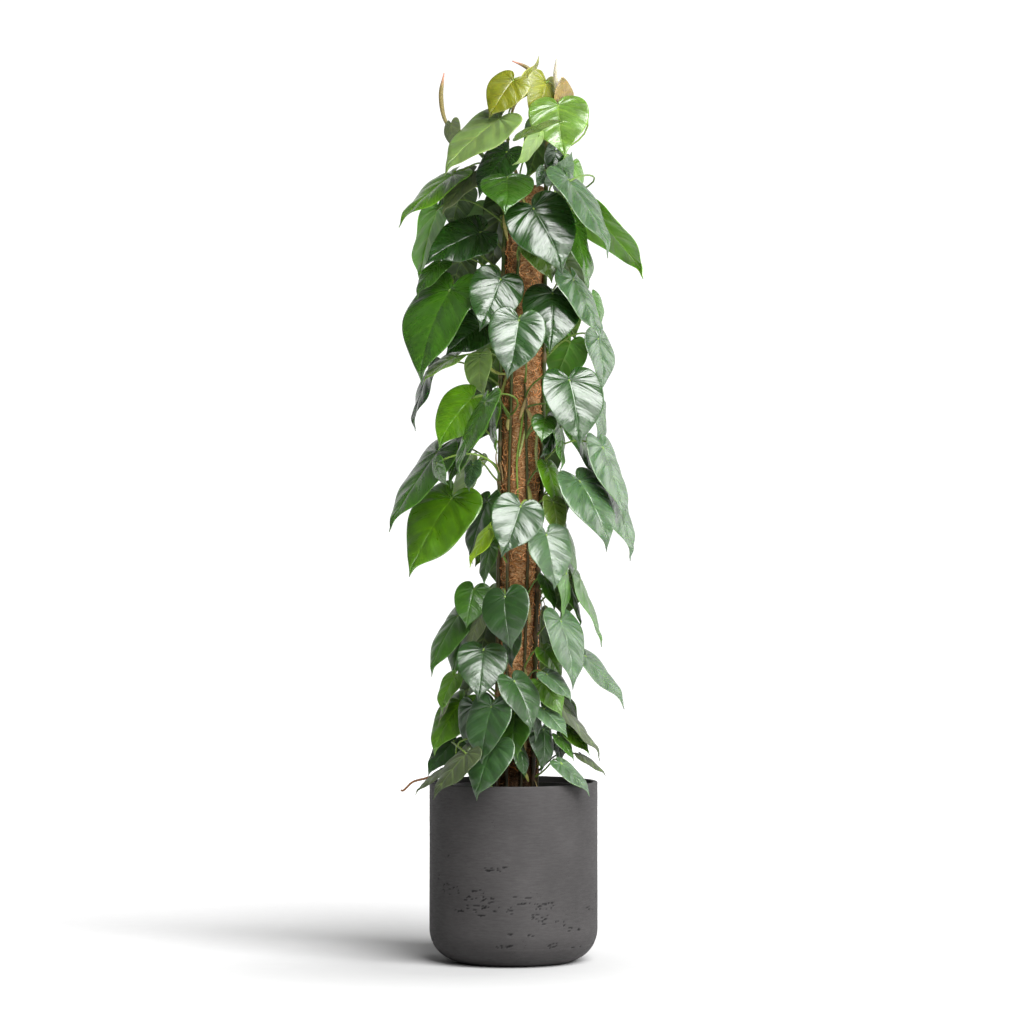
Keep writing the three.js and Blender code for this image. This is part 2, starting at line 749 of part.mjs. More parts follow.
function bladeHitsPot(blade) {
  return blade.edges.some(([a, b]) => [0, 0.25, 0.5, 0.75, 1].some((t) => hitsPot(a.clone().lerp(b, t))));
}

// Placing each leaf where its blade and stalk come clear of what is there

function stalkCurve(stem, leaf, drop, bow) {
  const start = stemAt(stem.points, Math.max(leaf.base.z - drop, SOIL_TOP + STALK_LOWEST));
  const end = bladePoint(leaf, STALK_JOINT, 0);
  const distance = start.distanceTo(end);
  const axis = poleAxis(start.z);
  const outward = leaf.base.clone().sub(axis).setZ(0).normalize();
  const from = start.clone().sub(axis).setZ(0).normalize();
  const sideways = UP.clone().cross(outward).multiplyScalar(bow * distance);
  const first = start.clone().addScaledVector(from, STALK_OUT * distance);
  first.addScaledVector(UP, STALK_UP * distance);
  const second = end.clone().addScaledVector(leaf.along, -STALK_IN * distance);
  second.addScaledVector(outward, -STALK_IN * distance);
  const curve = new THREE.CubicBezierCurve3(start, first.add(sideways), second.add(sideways), end);
  curve.arcLengthDivisions = STALK_DIVISIONS;
  return curve;
}

function stalkIsClear(points, owner, scene) {
  const stretches = stretchesOf(points);
  if (points.slice(0, -1).some((point) => hitsPot(point))) {
    return false;
  }
  const free = stretches.slice(1);
  const poleRoom = SLEEVE_RADIUS + STALK_RADIUS + POLE_CLEAR;
  if (free.some(([a, b]) => stretchGap(a, b, POLE_FOOT, POLE_END) < poleRoom)) {
    return false;
  }
  if (scene.blades.some((blade) => tooClose(stretches, blade, STALK_RADIUS + ROD_GAP))) {
    return false;
  }
  const others = scene.rods.filter((rod) => rod.owner !== owner);
  return !others.some((rod) => rod.stretches.some(
    ([c, d]) => stretches.some(([a, b]) => stretchGap(a, b, c, d) < STALK_RADIUS + rod.radius + ROD_CLEAR)));
}

function bladeIsClear(blade, scene) {
  if (bladeHitsPot(blade)) {
    return false;
  }
  if (scene.blades.some((other) => bladesCross(blade, other))) {
    return false;
  }
  return !scene.rods.some((rod) => tooClose(rod.stretches, blade, rod.radius + ROD_GAP));
}

function bearing(point) {
  return Math.atan2(point.y, point.x - poleAxis(point.z).x);
}

function nearestStems(leaf, scene) {
  const reachable = scene.stems.filter((stem) => stem.top > leaf.base.z - STEM_SHORTFALL);
  const turnTo = (stem) => {
    const turn = bearing(stemAt(stem.points, leaf.base.z)) - bearing(leaf.base);
    return Math.abs(Math.atan2(Math.sin(turn), Math.cos(turn)));
  };
  return reachable
    .map((stem) => [turnTo(stem), stem])
    .sort((a, b) => a[0] - b[0])
    .slice(0, STEMS_TRIED)
    .map(([, stem]) => stem);
}

function findStalk(leaf, scene) {
  for (const stem of nearestStems(leaf, scene)) {
    for (const drop of STALK_DROPS) {
      for (const bow of STALK_BOWS) {
        const curve = stalkCurve(stem, leaf, drop, bow);
        const points = curve.getSpacedPoints(STALK_STEPS);
        if (stalkIsClear(points, stem.name, scene)) {
          return { owner: stem.name, curve, points };
        }
      }
    }
  }
  return null;
}

function place(leaf, push, scene) {
  for (let i = 0; i < PUSHES; i += 1) {
    const blade = makeBlade(push(leaf, i * PUSH_STEP));
    if (!bladeIsClear(blade, scene)) {
      continue;
    }
    const stalk = findStalk(blade, scene);
    if (stalk) {
      blade.owner = stalk.owner;
      blade.stalk = stalk.curve;
      scene.blades.push(blade);
      scene.rods.push({ owner: stalk.owner, radius: STALK_RADIUS, stretches: stretchesOf(stalk.points) });
      return;
    }
  }
}

function shaped(leaf, random) {
  const fold = within(FOLD, random) * leaf.share;
  const arch = within(ARCH, random) * (0.25 + 0.75 * leaf.share);
  return { ...leaf, fold, arch };
}

function growLeaves(stems) {
  const pole = { owner: "coir_sleeve", radius: SLEEVE_RADIUS, stretches: [[POLE_FOOT, POLE_END]] };
  const rods = stems.map(({ name, points }) => (
    { owner: name, radius: STEM_RADIUS, stretches: stretchesOf(points) }
  ));
  const route = RIM_ROOT.route.map(([x, y, z]) => new THREE.Vector3(x, y, z));
  const root = { owner: RIM_ROOT.owner, radius: RIM_ROOT.radius, stretches: stretchesOf(route) };
  const scene = { stems, blades: [], rods: [pole, ...rods, root] };
  const random = mulberry(BACK_SEED + 1);
  const seen = SEEN_LEAVES.map((row) => shaped(seenLeaf(row), random));
  const inOrder = seen.map((leaf, i) => [Math.abs(SEEN_LEAVES[i][5]), leaf]).sort((a, b) => a[0] - b[0]);
  for (const [, leaf] of inOrder) {
    place(leaf, pushSeen, scene);
  }
  for (const leaf of backLeaves()) {
    place(shaped(leaf, random), pushBack, scene);
  }
  return scene;
}

function vineSolid(stem, blades) {
  const curve = new THREE.CatmullRomCurve3(stem.points);
  let solid = toSolid(taperedTube(curve, STEM_RADIUS, STEM_SIDES, stem.points.length, STEM_TIP_SHARE));
  for (const blade of blades) {
    const stalk = taperedTube(blade.stalk, STALK_RADIUS, 3, STALK_STEPS, STALK_TIP_SHARE);
    solid = solid.add(toSolid(stalk)).add(toSolid(bladeGeometry(blade)));
  }
  if (stem.name === RIM_ROOT.owner) {
    const route = new THREE.CatmullRomCurve3(RIM_ROOT.route.map(([x, y, z]) => new THREE.Vector3(x, y, z)));
    const steps = RIM_ROOT.route.length + 2;
    solid = solid.add(toSolid(taperedTube(route, RIM_ROOT.radius, 3, steps, STALK_TIP_SHARE)));
  }
  return solid;
}

const plant = new THREE.Group();
const stems = VINES.map((vine) => {
  const points = stemPoints(vine);
  return { name: vine.name, points, top: points[points.length - 1].z };
});
const scene = growLeaves(stems);

addPiece(plant, "planter", planterGeometry(), finish(0x56565a, 0.8));
addPiece(plant, "nursery_pot", toGeometry(nurserySolid()), finish(0x111111, 0.5));
addPiece(plant, "potting_soil", toGeometry(soilSolid(stems)), finish(0x2a1d14, 0.95));

const pole = new THREE.Group();
pole.rotation.y = POLE_LEAN;
addPiece(pole, "pole_core", coreGeometry(), finish(0x8a6a45, 0.7));
addPiece(pole, "coir_sleeve", sleeveGeometry(), finish(0x6b4526, 0.95));
plant.add(pole);

for (const stem of stems) {
  const own = scene.blades.filter((blade) => blade.owner === stem.name);
  addPiece(plant, stem.name, toGeometry(vineSolid(stem, own)), finish(0x3f6b24, 0.35));
}

export default plant;
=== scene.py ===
import math

import bpy
import numpy as np
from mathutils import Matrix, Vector, noise


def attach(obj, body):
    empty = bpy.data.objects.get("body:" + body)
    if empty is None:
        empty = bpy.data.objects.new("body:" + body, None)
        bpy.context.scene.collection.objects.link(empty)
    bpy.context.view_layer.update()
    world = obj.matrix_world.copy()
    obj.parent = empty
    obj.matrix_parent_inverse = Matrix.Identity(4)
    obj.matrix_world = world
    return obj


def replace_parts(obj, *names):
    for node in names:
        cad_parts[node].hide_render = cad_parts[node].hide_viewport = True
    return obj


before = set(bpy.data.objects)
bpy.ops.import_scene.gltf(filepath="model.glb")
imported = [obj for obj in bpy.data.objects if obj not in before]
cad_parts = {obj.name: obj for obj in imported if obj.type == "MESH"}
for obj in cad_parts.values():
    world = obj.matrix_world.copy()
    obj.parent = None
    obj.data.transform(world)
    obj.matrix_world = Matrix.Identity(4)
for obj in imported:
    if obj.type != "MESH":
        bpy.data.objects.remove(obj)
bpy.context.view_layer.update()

# Potted heartleaf philodendron. The plan is in millimetres, as the solids are, and meshes are written in
# metres.
MM = 0.001

# Planter
PLANTER_RADIUS = 140
PLANTER_HEIGHT = 298
PLANTER_WALL = 8
PLANTER_FLOOR = 12
PLANTER_FOOT_RADIUS = 55
PLANTER_LIP = 2
PLANTER_SIDES = 400
PLANTER_INSET = 0.35

# Cast pits in the planter: how deep they are and how much shade is painted into them, the clusters that the
# view shows, by middle pixel, half reach and number, and the loose bands behind, by height and number of
# clusters
PIT_SEED = 733
PIT_DEPTH = 1.1
PIT_PAINTED_SHADE = 0.97
PIT_CLUSTERS = [
    (448, 856, 1, 1, 2), (498, 868, 16, 5, 10), (438, 876, 1, 3, 4), (451, 888, 9, 6, 13),
    (477, 892, 6, 2, 6), (482, 904, 17, 8, 34), (460, 911, 5, 2, 7), (483, 916, 4, 1, 5),
    (509, 911, 4, 4, 7), (522, 901, 9, 4, 10), (545, 906, 10, 4, 18), (539, 920, 9, 5, 15),
    (561, 924, 5, 4, 5), (574, 929, 7, 2, 7), (589, 908, 6, 2, 8), (528, 935, 5, 1, 5),
    (510, 935, 3, 1, 4), (504, 947, 8, 1, 8), (553, 954, 10, 2, 16), (554, 946, 8, 3, 10),
    (578, 949, 6, 3, 10),
]
PIT_BANDS = [(128, 9), (110, 11), (88, 9), (62, 11), (36, 12)]

# Nursery pot and soil
NURSERY_BOTTOM = 12.3
NURSERY_BOTTOM_RADIUS = 80
NURSERY_TOP_RADIUS = 120
NURSERY_RIM_RADIUS = 126
NURSERY_RIM_DROP = 14
NURSERY_TOP = 289
NURSERY_WALL = 2
NURSERY_LIP = 1.6
NURSERY_SIDES = 120
DRAIN_HOLES = 6
DRAIN_RADIUS = 6
DRAIN_RING_RADIUS = 55
SOIL_RADIUS = 116
SOIL_TOP = 270
SOIL_MOUND = 6
SOIL_RISE = 0.9 * SOIL_MOUND
SOIL_SIDES = 110
CRUMBS = 900
CRUMB_SEED = 512
STEM_DEPTH = 60

# Climbing pole
POLE_LEAN = 0.016
SLEEVE_RADIUS = 31.5
SLEEVE_BOTTOM = 60
SLEEVE_TOP = 1288
SLEEVE_EDGE = 8
SLEEVE_INSET = 0.6
SLEEVE_END_INSET = 0.8
SLEEVE_SIDES = 80
SLEEVE_RINGS = 240
FIBRES = 3600
FIBRE_SEED = 411
LOOSE_FIBRES = 0.3
# Share of the sleeve's colour left at the soil by the painted shade under the lowest leaves
SOIL_PAINTED_SHADE = 0.14

# Stems, stalks and blades
STEM_RADIUS = 3.8
STEM_STEP = 70
STEM_CLEAR = 0.8
STALK_RADIUS = 1.7
STALK_STEPS = 3
STALK_DIVISIONS = 24
BLADE_ASPECT = 0.9
BLADE_GAP = 1.8
ROD_GAP = 1.3
SMALLEST_TURN_WIDTH = 0.14

# Seed of the vines' draws, share of nodes with a dried sheath, and height above which a stem's end is fresh
VINE_SEED = 300
SHEATH_SHARE = 0.32
FRESH_END = 1400

# How leaves hang: tilt out of the view in radians, the least distance in front of the pole's axis in mm, and
# how far a blade that is seen narrow turns upward
USUAL_TILT = 0.17
LARGEST_TILT = 0.85
LEAST_FRONT = 10
TURN_UPWARD = 0.6

# Lowest and highest fold along the midrib and arch of a blade, as shares of its length
FOLD = (-0.06, 0.28)
ARCH = (0.03, 0.1)

# A stalk: where it meets the blade, how low it may start above the soil, and how far it swings out, up and in
STALK_JOINT = 0.05
STALK_LOWEST = 12
STALK_OUT = 0.35
STALK_UP = 0.25
STALK_IN = 0.3

# Clear space that a blade or a stalk keeps from the pots, the pole and the stems
OVER_RIM = 4
OUTSIDE_RIM = 3
INSIDE_RIM = 9
OVER_SOIL = 4
POLE_END_GAP = 6
POLE_CLEAR = 1
ROD_CLEAR = 0.8

# Level view from the front in which the leaves are measured: focal length and middle in pixels, eye in mm
FOCAL = 3944
FRAME_MIDDLE = 512
FRAME_WIDTH = 1024
SENSOR_WIDTH = 36
EYE_X = -2.5
EYE_Z = 745
EYE_DISTANCE = 6550

HEART = [(-0.16, -0.16), (-0.12, -0.37), (0.2, -0.5), (0.56, -0.4), (0.83, -0.16)]
MIDRIB = [0.25, 0.6]

VINES = [
    ("vine_left", [(200, 208), (650, 192), (1000, 186), (1250, 200)],
     [(-40, -14, 1321), (-72, -20, 1355), (-94, -22, 1373), (-112, -22, 1391), (-120, -22, 1433),
      (-115, -22, 1472)]),
    ("vine_front_left", [(200, 246), (700, 234), (1000, 240), (1270, 262)],
     [(-9, -30, 1346), (-3, -24, 1404), (10, -20, 1440), (29, -22, 1476)]),
    ("vine_front", [(200, 280), (700, 292), (960, 276)], []),
    ("vine_right", [(200, 318), (600, 322), (760, 342), (1000, 345), (1280, 338)],
     [(57, -8, 1363), (64, -7, 1400), (66, -6, 1429), (62, -7, 1447), (54, -8, 1458), (36, -10, 1468),
      (22, -10, 1482), (-2, -10, 1493)]),
    ("vine_back_right", [(200, 20), (700, 30), (1180, 25)], []),
    ("vine_back", [(200, 80), (700, 90), (1240, 75)], []),
    ("vine_back_left", [(200, 140), (700, 132), (1100, 145)], []),
]

RIM_ROOT_OWNER = "vine_left"
RIM_ROOT_RADIUS = 2
RIM_ROOT_GIRTH = 1.2
RIM_ROOT_SHADE = 0.45
RIM_ROOT = [(-32, -14, 326), (-62, -20, 326), (-100, -24, 318), (-147, -24, 304), (-167, -24, 298),
            (-183, -24, 284), (-187, -24, 285)]

# Stalk end and tip in the view's pixels, seen width in pixels, distance from the pole's axis in mm
# (negative behind it), and how the blade looks
SEEN_LEAVES = [
    # Crown
    (514, 79, 490, 118, 38, 48, "olive"),
    (501, 117, 442, 171, 42, 95, "silver"),
    (454, 173, 398, 225, 25, 104, "bright"),
    (474, 172, 442, 214, 24, 70, "under"),
    (451, 123, 456, 149, 17, 50, "under"),
    (508, 150, 478, 197, 36, 80, "dark"),
    (507, 175, 508, 214, 54, 125, "mid"),
    (558, 102, 562, 158, 60, 105, "light"),
    (521, 134, 569, 120, 12, 150, "light"),
    (539, 134, 515, 166, 14, 115, "young"),
    (546, 80, 532, 123, 34, 50, "olive"),
    (563, 106, 563, 75, 20, 75, "amber"),
    (516, 98, 540, 58, 12, 30, "spike"),
    (558, 91, 557, 58, 9, 62, "sheath"),
    (556, 150, 548, 182, 23, 75, "dark"),
    (545, 170, 536, 187, 14, 95, "pale"),
    (554, 183, 573, 153, 22, 100, "pale"),
    (573, 163, 567, 205, 22, 85, "bright"),
    # Shoulders
    (438, 207, 420, 284, 26, -60, "vivid"),
    (440, 262, 416, 297, 20, 70, "mid"),
    (482, 231, 424, 261, 46, 120, "dark"),
    (567, 177, 610, 254, 30, 120, "pale"),
    (589, 210, 645, 275, 30, -60, "glow"),
    (532, 206, 566, 273, 66, 150, "dark"),
    (533, 239, 554, 282, 36, 115, "light"),
    (575, 222, 587, 293, 22, 85, "mid"),
    # Upper middle
    (572, 277, 602, 342, 27, 130, "pale"),
    (592, 294, 601, 326, 18, 70, "mid"),
    (598, 337, 603, 391, 27, 110, "pale"),
    (553, 291, 551, 353, 60, 125, "dark"),
    (501, 277, 481, 331, 54, 130, "dark"),
    (519, 318, 510, 379, 57, 160, "deep"),
    (451, 287, 419, 382, 61, 125, "mid"),
    (485, 323, 446, 355, 42, 100, "dark"),
    (457, 356, 422, 381, 14, 90, "light"),
    (430, 368, 412, 429, 13, 60, "dark"),
    (480, 356, 483, 396, 28, 75, "young"),
    (571, 341, 553, 385, 42, -50, "vivid"),
    # Middle
    (474, 396, 437, 447, 48, 85, "bright"),
    (474, 425, 449, 487, 26, 88, "mid"),
    (569, 378, 579, 447, 60, 145, "dark"),
    (602, 406, 597, 451, 13, 40, "pale"),
    (602, 445, 625, 521, 28, 90, "pale"),
    (609, 480, 634, 558, 28, 70, "pale"),
    (572, 424, 595, 480, 18, 80, "mid"),
    (560, 425, 562, 471, 11, 90, "mid"),
    (556, 420, 542, 459, 20, 80, "dark"),
    (545, 418, 541, 442, 26, 105, "mid"),
    (486, 400, 456, 473, 20, 104, "mid"),
    (492, 398, 496, 453, 10, 70, "bright"),
    (473, 464, 469, 491, 17, 95, "pale"),
    (438, 450, 388, 529, 32, 60, "mid"),
    (453, 496, 409, 575, 60, 125, "bright"),
    (488, 500, 470, 562, 24, 75, "dark"),
    (490, 528, 469, 566, 14, 90, "lime"),
    (491, 545, 483, 585, 16, 95, "mid"),
    (548, 466, 557, 510, 20, 80, "bright"),
    (578, 479, 607, 549, 43, 130, "pale"),
    (553, 501, 556, 537, 24, 100, "moss"),
    (521, 505, 504, 557, 53, 150, "deep"),
    # Lower middle
    (546, 533, 555, 589, 43, 140, "pale"),
    (565, 527, 576, 575, 12, 90, "mid"),
    (566, 550, 573, 580, 7, 80, "dark"),
    (566, 572, 562, 619, 13, 110, "mid"),
    (569, 586, 582, 627, 8, 80, "mid"),
    (579, 578, 603, 645, 9, 60, "mid"),
    (545, 578, 555, 611, 13, 85, "mid"),
    (505, 595, 512, 650, 48, 140, "dark"),
    (512, 628, 511, 669, 19, 90, "dark"),
    (481, 613, 469, 655, 17, 75, "under"),
    (459, 614, 429, 674, 27, 95, "mid"),
    (474, 588, 467, 628, 36, 95, "mid"),
    (472, 616, 452, 681, 24, 60, "mid"),
    (560, 619, 573, 688, 35, 125, "pale"),
    (544, 650, 561, 679, 20, 90, "bright"),
    (584, 655, 625, 707, 17, 60, "pale"),
    # Skirt
    (483, 649, 479, 700, 51, 140, "dark"),
    (455, 676, 440, 712, 18, 85, "bright"),
    (463, 700, 432, 754, 34, 115, "bright"),
    (455, 680, 438, 725, 6, 60, "under"),
    (513, 680, 533, 731, 34, 140, "dark"),
    (515, 712, 515, 760, 36, 110, "mid"),
    (533, 700, 536, 742, 12, 90, "dark"),
    (541, 682, 562, 716, 27, 100, "bright"),
    (546, 674, 572, 701, 17, 110, "pale"),
    (557, 701, 603, 757, 6, 90, "shade"),
    (542, 708, 567, 737, 20, 90, "pale"),
    (567, 727, 590, 754, 14, 90, "bright"),
    (558, 736, 574, 760, 11, 80, "mid"),
    (557, 742, 560, 763, 12, 60, "dark"),
    (543, 728, 542, 772, 24, 70, "dark"),
    (475, 704, 487, 760, 40, 115, "deep"),
    (492, 705, 481, 764, 42, 150, "deep"),
    (455, 740, 428, 775, 24, 100, "dark"),
    # Over the rim
    (495, 744, 477, 799, 40, 148, "deep"),
    (468, 752, 433, 797, 21, 150, "shade"),
    (445, 768, 415, 793, 6, 100, "shade"),
    (581, 755, 606, 775, 6, 100, "shade"),
    (560, 763, 591, 794, 14, 140, "pale"),
    (462, 752, 450, 778, 22, 80, "dark"),
    (520, 750, 524, 778, 15, 70, "dark"),
    # Deep between the others
    (462, 190, 452, 229, 34, -45, "dark"),
    (540, 128, 526, 177, 34, -28, "mid"),
    (462, 257, 449, 300, 34, -45, "dark"),
    (501, 214, 493, 270, 36, -50, "dark"),
    (490, 620, 479, 668, 36, -60, "dark"),
    (500, 196, 486, 226, 26, -40, "dark"),
    (436, 462, 447, 486, 14, 90, "mid"),
]

BACK_LEAVES = 24
BACK_BOTTOM = 350
BACK_TOP = 1330
BACK_SPREAD = 0.28
GOLDEN_TURN = 2.39996
BACK_SEED = 17
BACK_REACH = (70, 115)
BACK_OUTWARD = (0.15, 0.55)
BACK_SIDEWAYS = (-0.45, 0.45)
BACK_ROLL = (-0.45, 0.45)
BACK_LENGTH = (68, 102)
BACK_TONES = ["dark", "mid", "bright", "dark", "light", "mid", "bright"]

PUSH_STEP = 4
PUSHES = 26
STALK_DROPS = [30, 50, 12, 75, -8, 100, -30, 130]
STALK_BOWS = [0, 0.22, -0.22, 0.45, -0.45, 0.7, -0.7]
STEMS_TRIED = 5
STEM_SHORTFALL = 130

# Colours of the upper face, linear
TONES = {
    "dark": (0.014, 0.052, 0.006),
    "deep": (0.022, 0.062, 0.015),
    "mid": (0.036, 0.115, 0.006),
    "moss": (0.075, 0.130, 0.012),
    "bright": (0.075, 0.195, 0.004),
    "vivid": (0.065, 0.250, 0.003),
    # Painted light: a bright green for light shining through a leaf from behind
    "glow": (0.150, 0.400, 0.010),
    "light": (0.100, 0.195, 0.024),
    # A greyed green: the leaves' own green with part of their white sheen painted in
    "pale": (0.048, 0.102, 0.038),
    # Painted sheen: a green lightened for the sky's reflection on a glossy leaf
    "silver": (0.170, 0.270, 0.070),
    "lime": (0.270, 0.460, 0.002),
    "olive": (0.170, 0.190, 0.005),
    "young": (0.240, 0.380, 0.100),
    "spike": (0.260, 0.280, 0.030),
    "amber": (0.200, 0.140, 0.024),
    "under": (0.105, 0.130, 0.062),
    "shade": (0.024, 0.036, 0.015),
    "sheath": (0.820, 0.740, 0.580),
}

# Studio, in metres and watts: half the floor's width, each soft lamp's place, the height on the middle axis
# that it faces, its size and its power, and the key light, with its spread in degrees
FLOOR_HALF = 6
SOFTBOXES = [
    ("softbox_right", (2.2, -1.6, 1.6), 0.8, 0.9, 35),
    ("softbox_side", (2.6, 1.3, 1.5), 0.8, 1.7, 27),
    ("softbox_top", (0.9, -1.2, 3.0), 0.9, 1.2, 8),
    ("softbox_front", (1.2, -3.1, 1.2), 0.8, 1.3, 26),
]
KEY_POWER = 5.5
KEY_SPREAD = 44
KEY_DIRECTION = (-0.36, 0.63, -0.69)

UP = np.array([0.0, 0.0, 1.0])
TO_FRONT = np.array([0.0, -1.0, 0.0])


def unit(v):
    return v / math.sqrt(float(v @ v))


def level_unit(v):
    """The direction of v with its height left out."""
    return unit(v * [1, 1, 0])


def lengths_along(points):
    """The distance along the path at each of its points."""
    return np.concatenate([[0], np.cumsum(np.linalg.norm(np.diff(points, axis=0), axis=1))])


def within(bounds, draw):
    return bounds[0] + (bounds[1] - bounds[0]) * draw()


def mulberry(seed):
    state = seed & 0xFFFFFFFF

    def draw():
        nonlocal state
        state = (state + 0x6D2B79F5) & 0xFFFFFFFF
        value = ((state ^ (state >> 15)) * (1 | state)) & 0xFFFFFFFF
        value ^= (value + ((value ^ (value >> 7)) * (61 | value))) & 0xFFFFFFFF
        return (value ^ (value >> 14)) / 4294967296

    return draw


# Stems

def pole_axis(z):
    return np.array([z * math.tan(POLE_LEAN), 0.0, z])


def turn_at(turns, z):
    after = next(i for i, (height, _) in enumerate(turns) if height >= z)
    if after == 0:
        return turns[0][1]
    z0, turn0 = turns[after - 1]
    z1, turn1 = turns[after]
    return turn0 + (turn1 - turn0) * (z - z0) / (z1 - z0)


def stem_points(turns, free):
    reach = SLEEVE_RADIUS + STEM_RADIUS + STEM_CLEAR
    top = turns[-1][0]
    steps = int((top - SOIL_TOP) / STEM_STEP + 0.5)
    points = []
    for i in range(steps + 1):
        z = SOIL_TOP + (top - SOIL_TOP) * i / steps
        angle = math.radians(turn_at(turns, z))
        points.append(pole_axis(z) + [reach * math.cos(angle), reach * math.sin(angle), 0])
    foot = points[0].copy()
    foot[2] = SOIL_TOP - STEM_DEPTH
    return np.array([foot, *points, *[np.array(p, float) for p in free]])


def stem_at(points, z):
    for low, high in zip(points[:-1], points[1:]):
        if high[2] >= z:
            return low + (high - low) * (z - low[2]) / (high[2] - low[2])
    return points[-1].copy()


# Leaf frames: the stalk end, the midrib's direction, the way that the face looks, length and width

def through_pixel(px, py, y):
    depth = EYE_DISTANCE + y
    x = EYE_X + (px - FRAME_MIDDLE) * depth / FOCAL
    z = EYE_Z - (py - FRAME_MIDDLE) * depth / FOCAL
    return np.array([x, y, z])


def seen_leaf(base_x, base_y, tip_x, tip_y, seen_width, reach):
    middle = through_pixel((base_x + tip_x) / 2, (base_y + tip_y) / 2, 0)
    aside = middle[0] - pole_axis(middle[2])[0]
    away = math.copysign(1, reach)
    y = -away * math.sqrt(max(reach * reach - aside * aside, LEAST_FRONT ** 2))
    scale = (EYE_DISTANCE + y) / FOCAL
    flat = np.array([tip_x - base_x, 0.0, base_y - tip_y]) * scale
    seen_length = math.sqrt(flat @ flat)
    width = seen_width * scale
    broad = width > BLADE_ASPECT * seen_length
    tilt = min(math.acos(BLADE_ASPECT * seen_length / width), LARGEST_TILT) if broad else USUAL_TILT
    length = seen_length / math.cos(tilt)
    share = max(min(width / (BLADE_ASPECT * length), 1), SMALLEST_TURN_WIDTH)
    turn = math.acos(share)
    outward = TO_FRONT * away
    along = unit(flat) * math.cos(tilt) + outward * math.sin(tilt)
    facing = unit(outward - along * (along @ outward))
    across = np.cross(facing, along)
    side = np.array([math.copysign(1, aside), 0, TURN_UPWARD])
    sign = 1 if across @ side > 0 else -1
    face = facing * math.cos(turn) + across * sign * math.sin(turn)
    return {"pixel": (base_x, base_y), "y": y, "away": away, "base": through_pixel(base_x, base_y, y),
            "along": along, "face": face, "length": length, "share": share}


def push_seen(leaf, distance):
    y = leaf["y"] - leaf["away"] * distance
    base = through_pixel(*leaf["pixel"], y)
    base[1] = y - leaf["along"][1] * leaf["length"] * 0.5
    return {**leaf, "base": base}


def back_leaves():
    draw = mulberry(BACK_SEED)
    leaves = []
    for i in range(BACK_LEAVES):
        z = BACK_BOTTOM + (BACK_TOP - BACK_BOTTOM) * (i + draw()) / BACK_LEAVES
        turn = math.pi * (0.5 + BACK_SPREAD * math.sin(i * GOLDEN_TURN))
        outward = np.array([math.cos(turn), math.sin(turn), 0])
        sideways = np.cross(UP, outward)
        reach = within(BACK_REACH, draw)
        along = outward * within(BACK_OUTWARD, draw) - UP
        along = unit(along + sideways * within(BACK_SIDEWAYS, draw))
        facing = unit(outward - along * (along @ outward))
        across = np.cross(facing, along)
        roll = within(BACK_ROLL, draw)
        face = facing * math.cos(roll) + across * math.sin(roll)
        length = within(BACK_LENGTH, draw)
        base = pole_axis(z) + outward * reach
        leaves.append({"base": base, "outward": outward, "along": along, "face": face, "length": length,
                       "share": 1, "tone": BACK_TONES[i % len(BACK_TONES)]})
    return leaves


def push_back(leaf, distance):
    return {**leaf, "base": leaf["base"] + leaf["outward"] * distance}


def shaped(leaf, draw):
    fold = within(FOLD, draw) * leaf["share"]
    arch = within(ARCH, draw) * (0.25 + 0.75 * leaf["share"])
    return {**leaf, "fold": fold, "arch": arch}


# The plain blade that the search for a clear place uses

LAST = 2 * len(HEART) + 1
TIP = len(HEART) + 1
NEAR = LAST + 1
FAR = LAST + 2


def plain_faces():
    near = len(HEART) - 1
    faces = []
    for at in (lambda i: i, lambda i: LAST + 1 - i if i else 0):
        faces += [(at(i), at(i + 1), NEAR) for i in range(near)]
        faces += [(at(near), FAR, NEAR), (at(near), at(near + 1), FAR), (at(near + 1), TIP, FAR)]
    return faces


PLAIN_FACES = np.array(plain_faces())
PLAIN_EDGES = np.array(sorted({tuple(sorted((face[i], face[(i + 1) % 3])))
                               for face in plain_faces() for i in range(3)}))
PLAIN_PLACES = np.array([(0, 0), *HEART, (1, 0), *[(u, -v) for u, v in HEART[::-1]],
                         *[(u, 0) for u in MIDRIB]])


def blade_points(leaf, places):
    u = places[:, 0]
    v = places[:, 1]
    across = np.cross(leaf["face"], leaf["along"])
    arch = leaf["arch"] * np.where(u > 0, 4 * u * (1 - u), 4 * u)
    lift = arch + leaf["fold"] * np.abs(v) * BLADE_ASPECT
    flat = np.outer(u, leaf["along"]) + np.outer(v * BLADE_ASPECT, across)
    return leaf["base"] + leaf["length"] * (flat + np.outer(lift, leaf["face"]))


def dots(a, b):
    return np.einsum("...i,...i->...", a, b)


def stretch_gaps(a, b, c, d):
    one = b - a
    two = d - c
    between = a - c
    aa = dots(one, one)
    bb = dots(two, two)
    ab = dots(one, two)
    ac = dots(one, between)
    bc = dots(two, between)
    spread = aa * bb - ab * ab
    far = spread > 1e-9
    s = np.where(far, np.clip((ab * bc - ac * bb) / np.where(far, spread, 1), 0, 1), 0)
    t = np.clip((ab * s + bc) / bb, 0, 1)
    s = np.clip((ab * t - ac) / aa, 0, 1)
    gap = between + one * s[..., None] - two * t[..., None]
    return np.sqrt(dots(gap, gap))


def over_face(point, face):
    away = point - face["a"]
    d1 = dots(away, face["ab"])
    d2 = dots(away, face["ac"])
    v = (face["cc"] * d1 - face["bc"] * d2) / face["area"]
    w = (face["bb"] * d2 - face["bc"] * d1) / face["area"]
    return (v >= 0) & (w >= 0) & (v + w <= 1)


def face_hit(a, b, face, gap):
    high = dots(a - face["a"], face["normal"])
    low = dots(b - face["a"], face["normal"])
    crossing = high * low < 0
    share = np.where(crossing, high / np.where(crossing, high - low, 1), 0)
    pierced = crossing & over_face(a + (b - a) * share[..., None], face)
    return pierced | (over_face(a, face) & (np.abs(high) < gap)) | (over_face(b, face) & (np.abs(low) < gap))


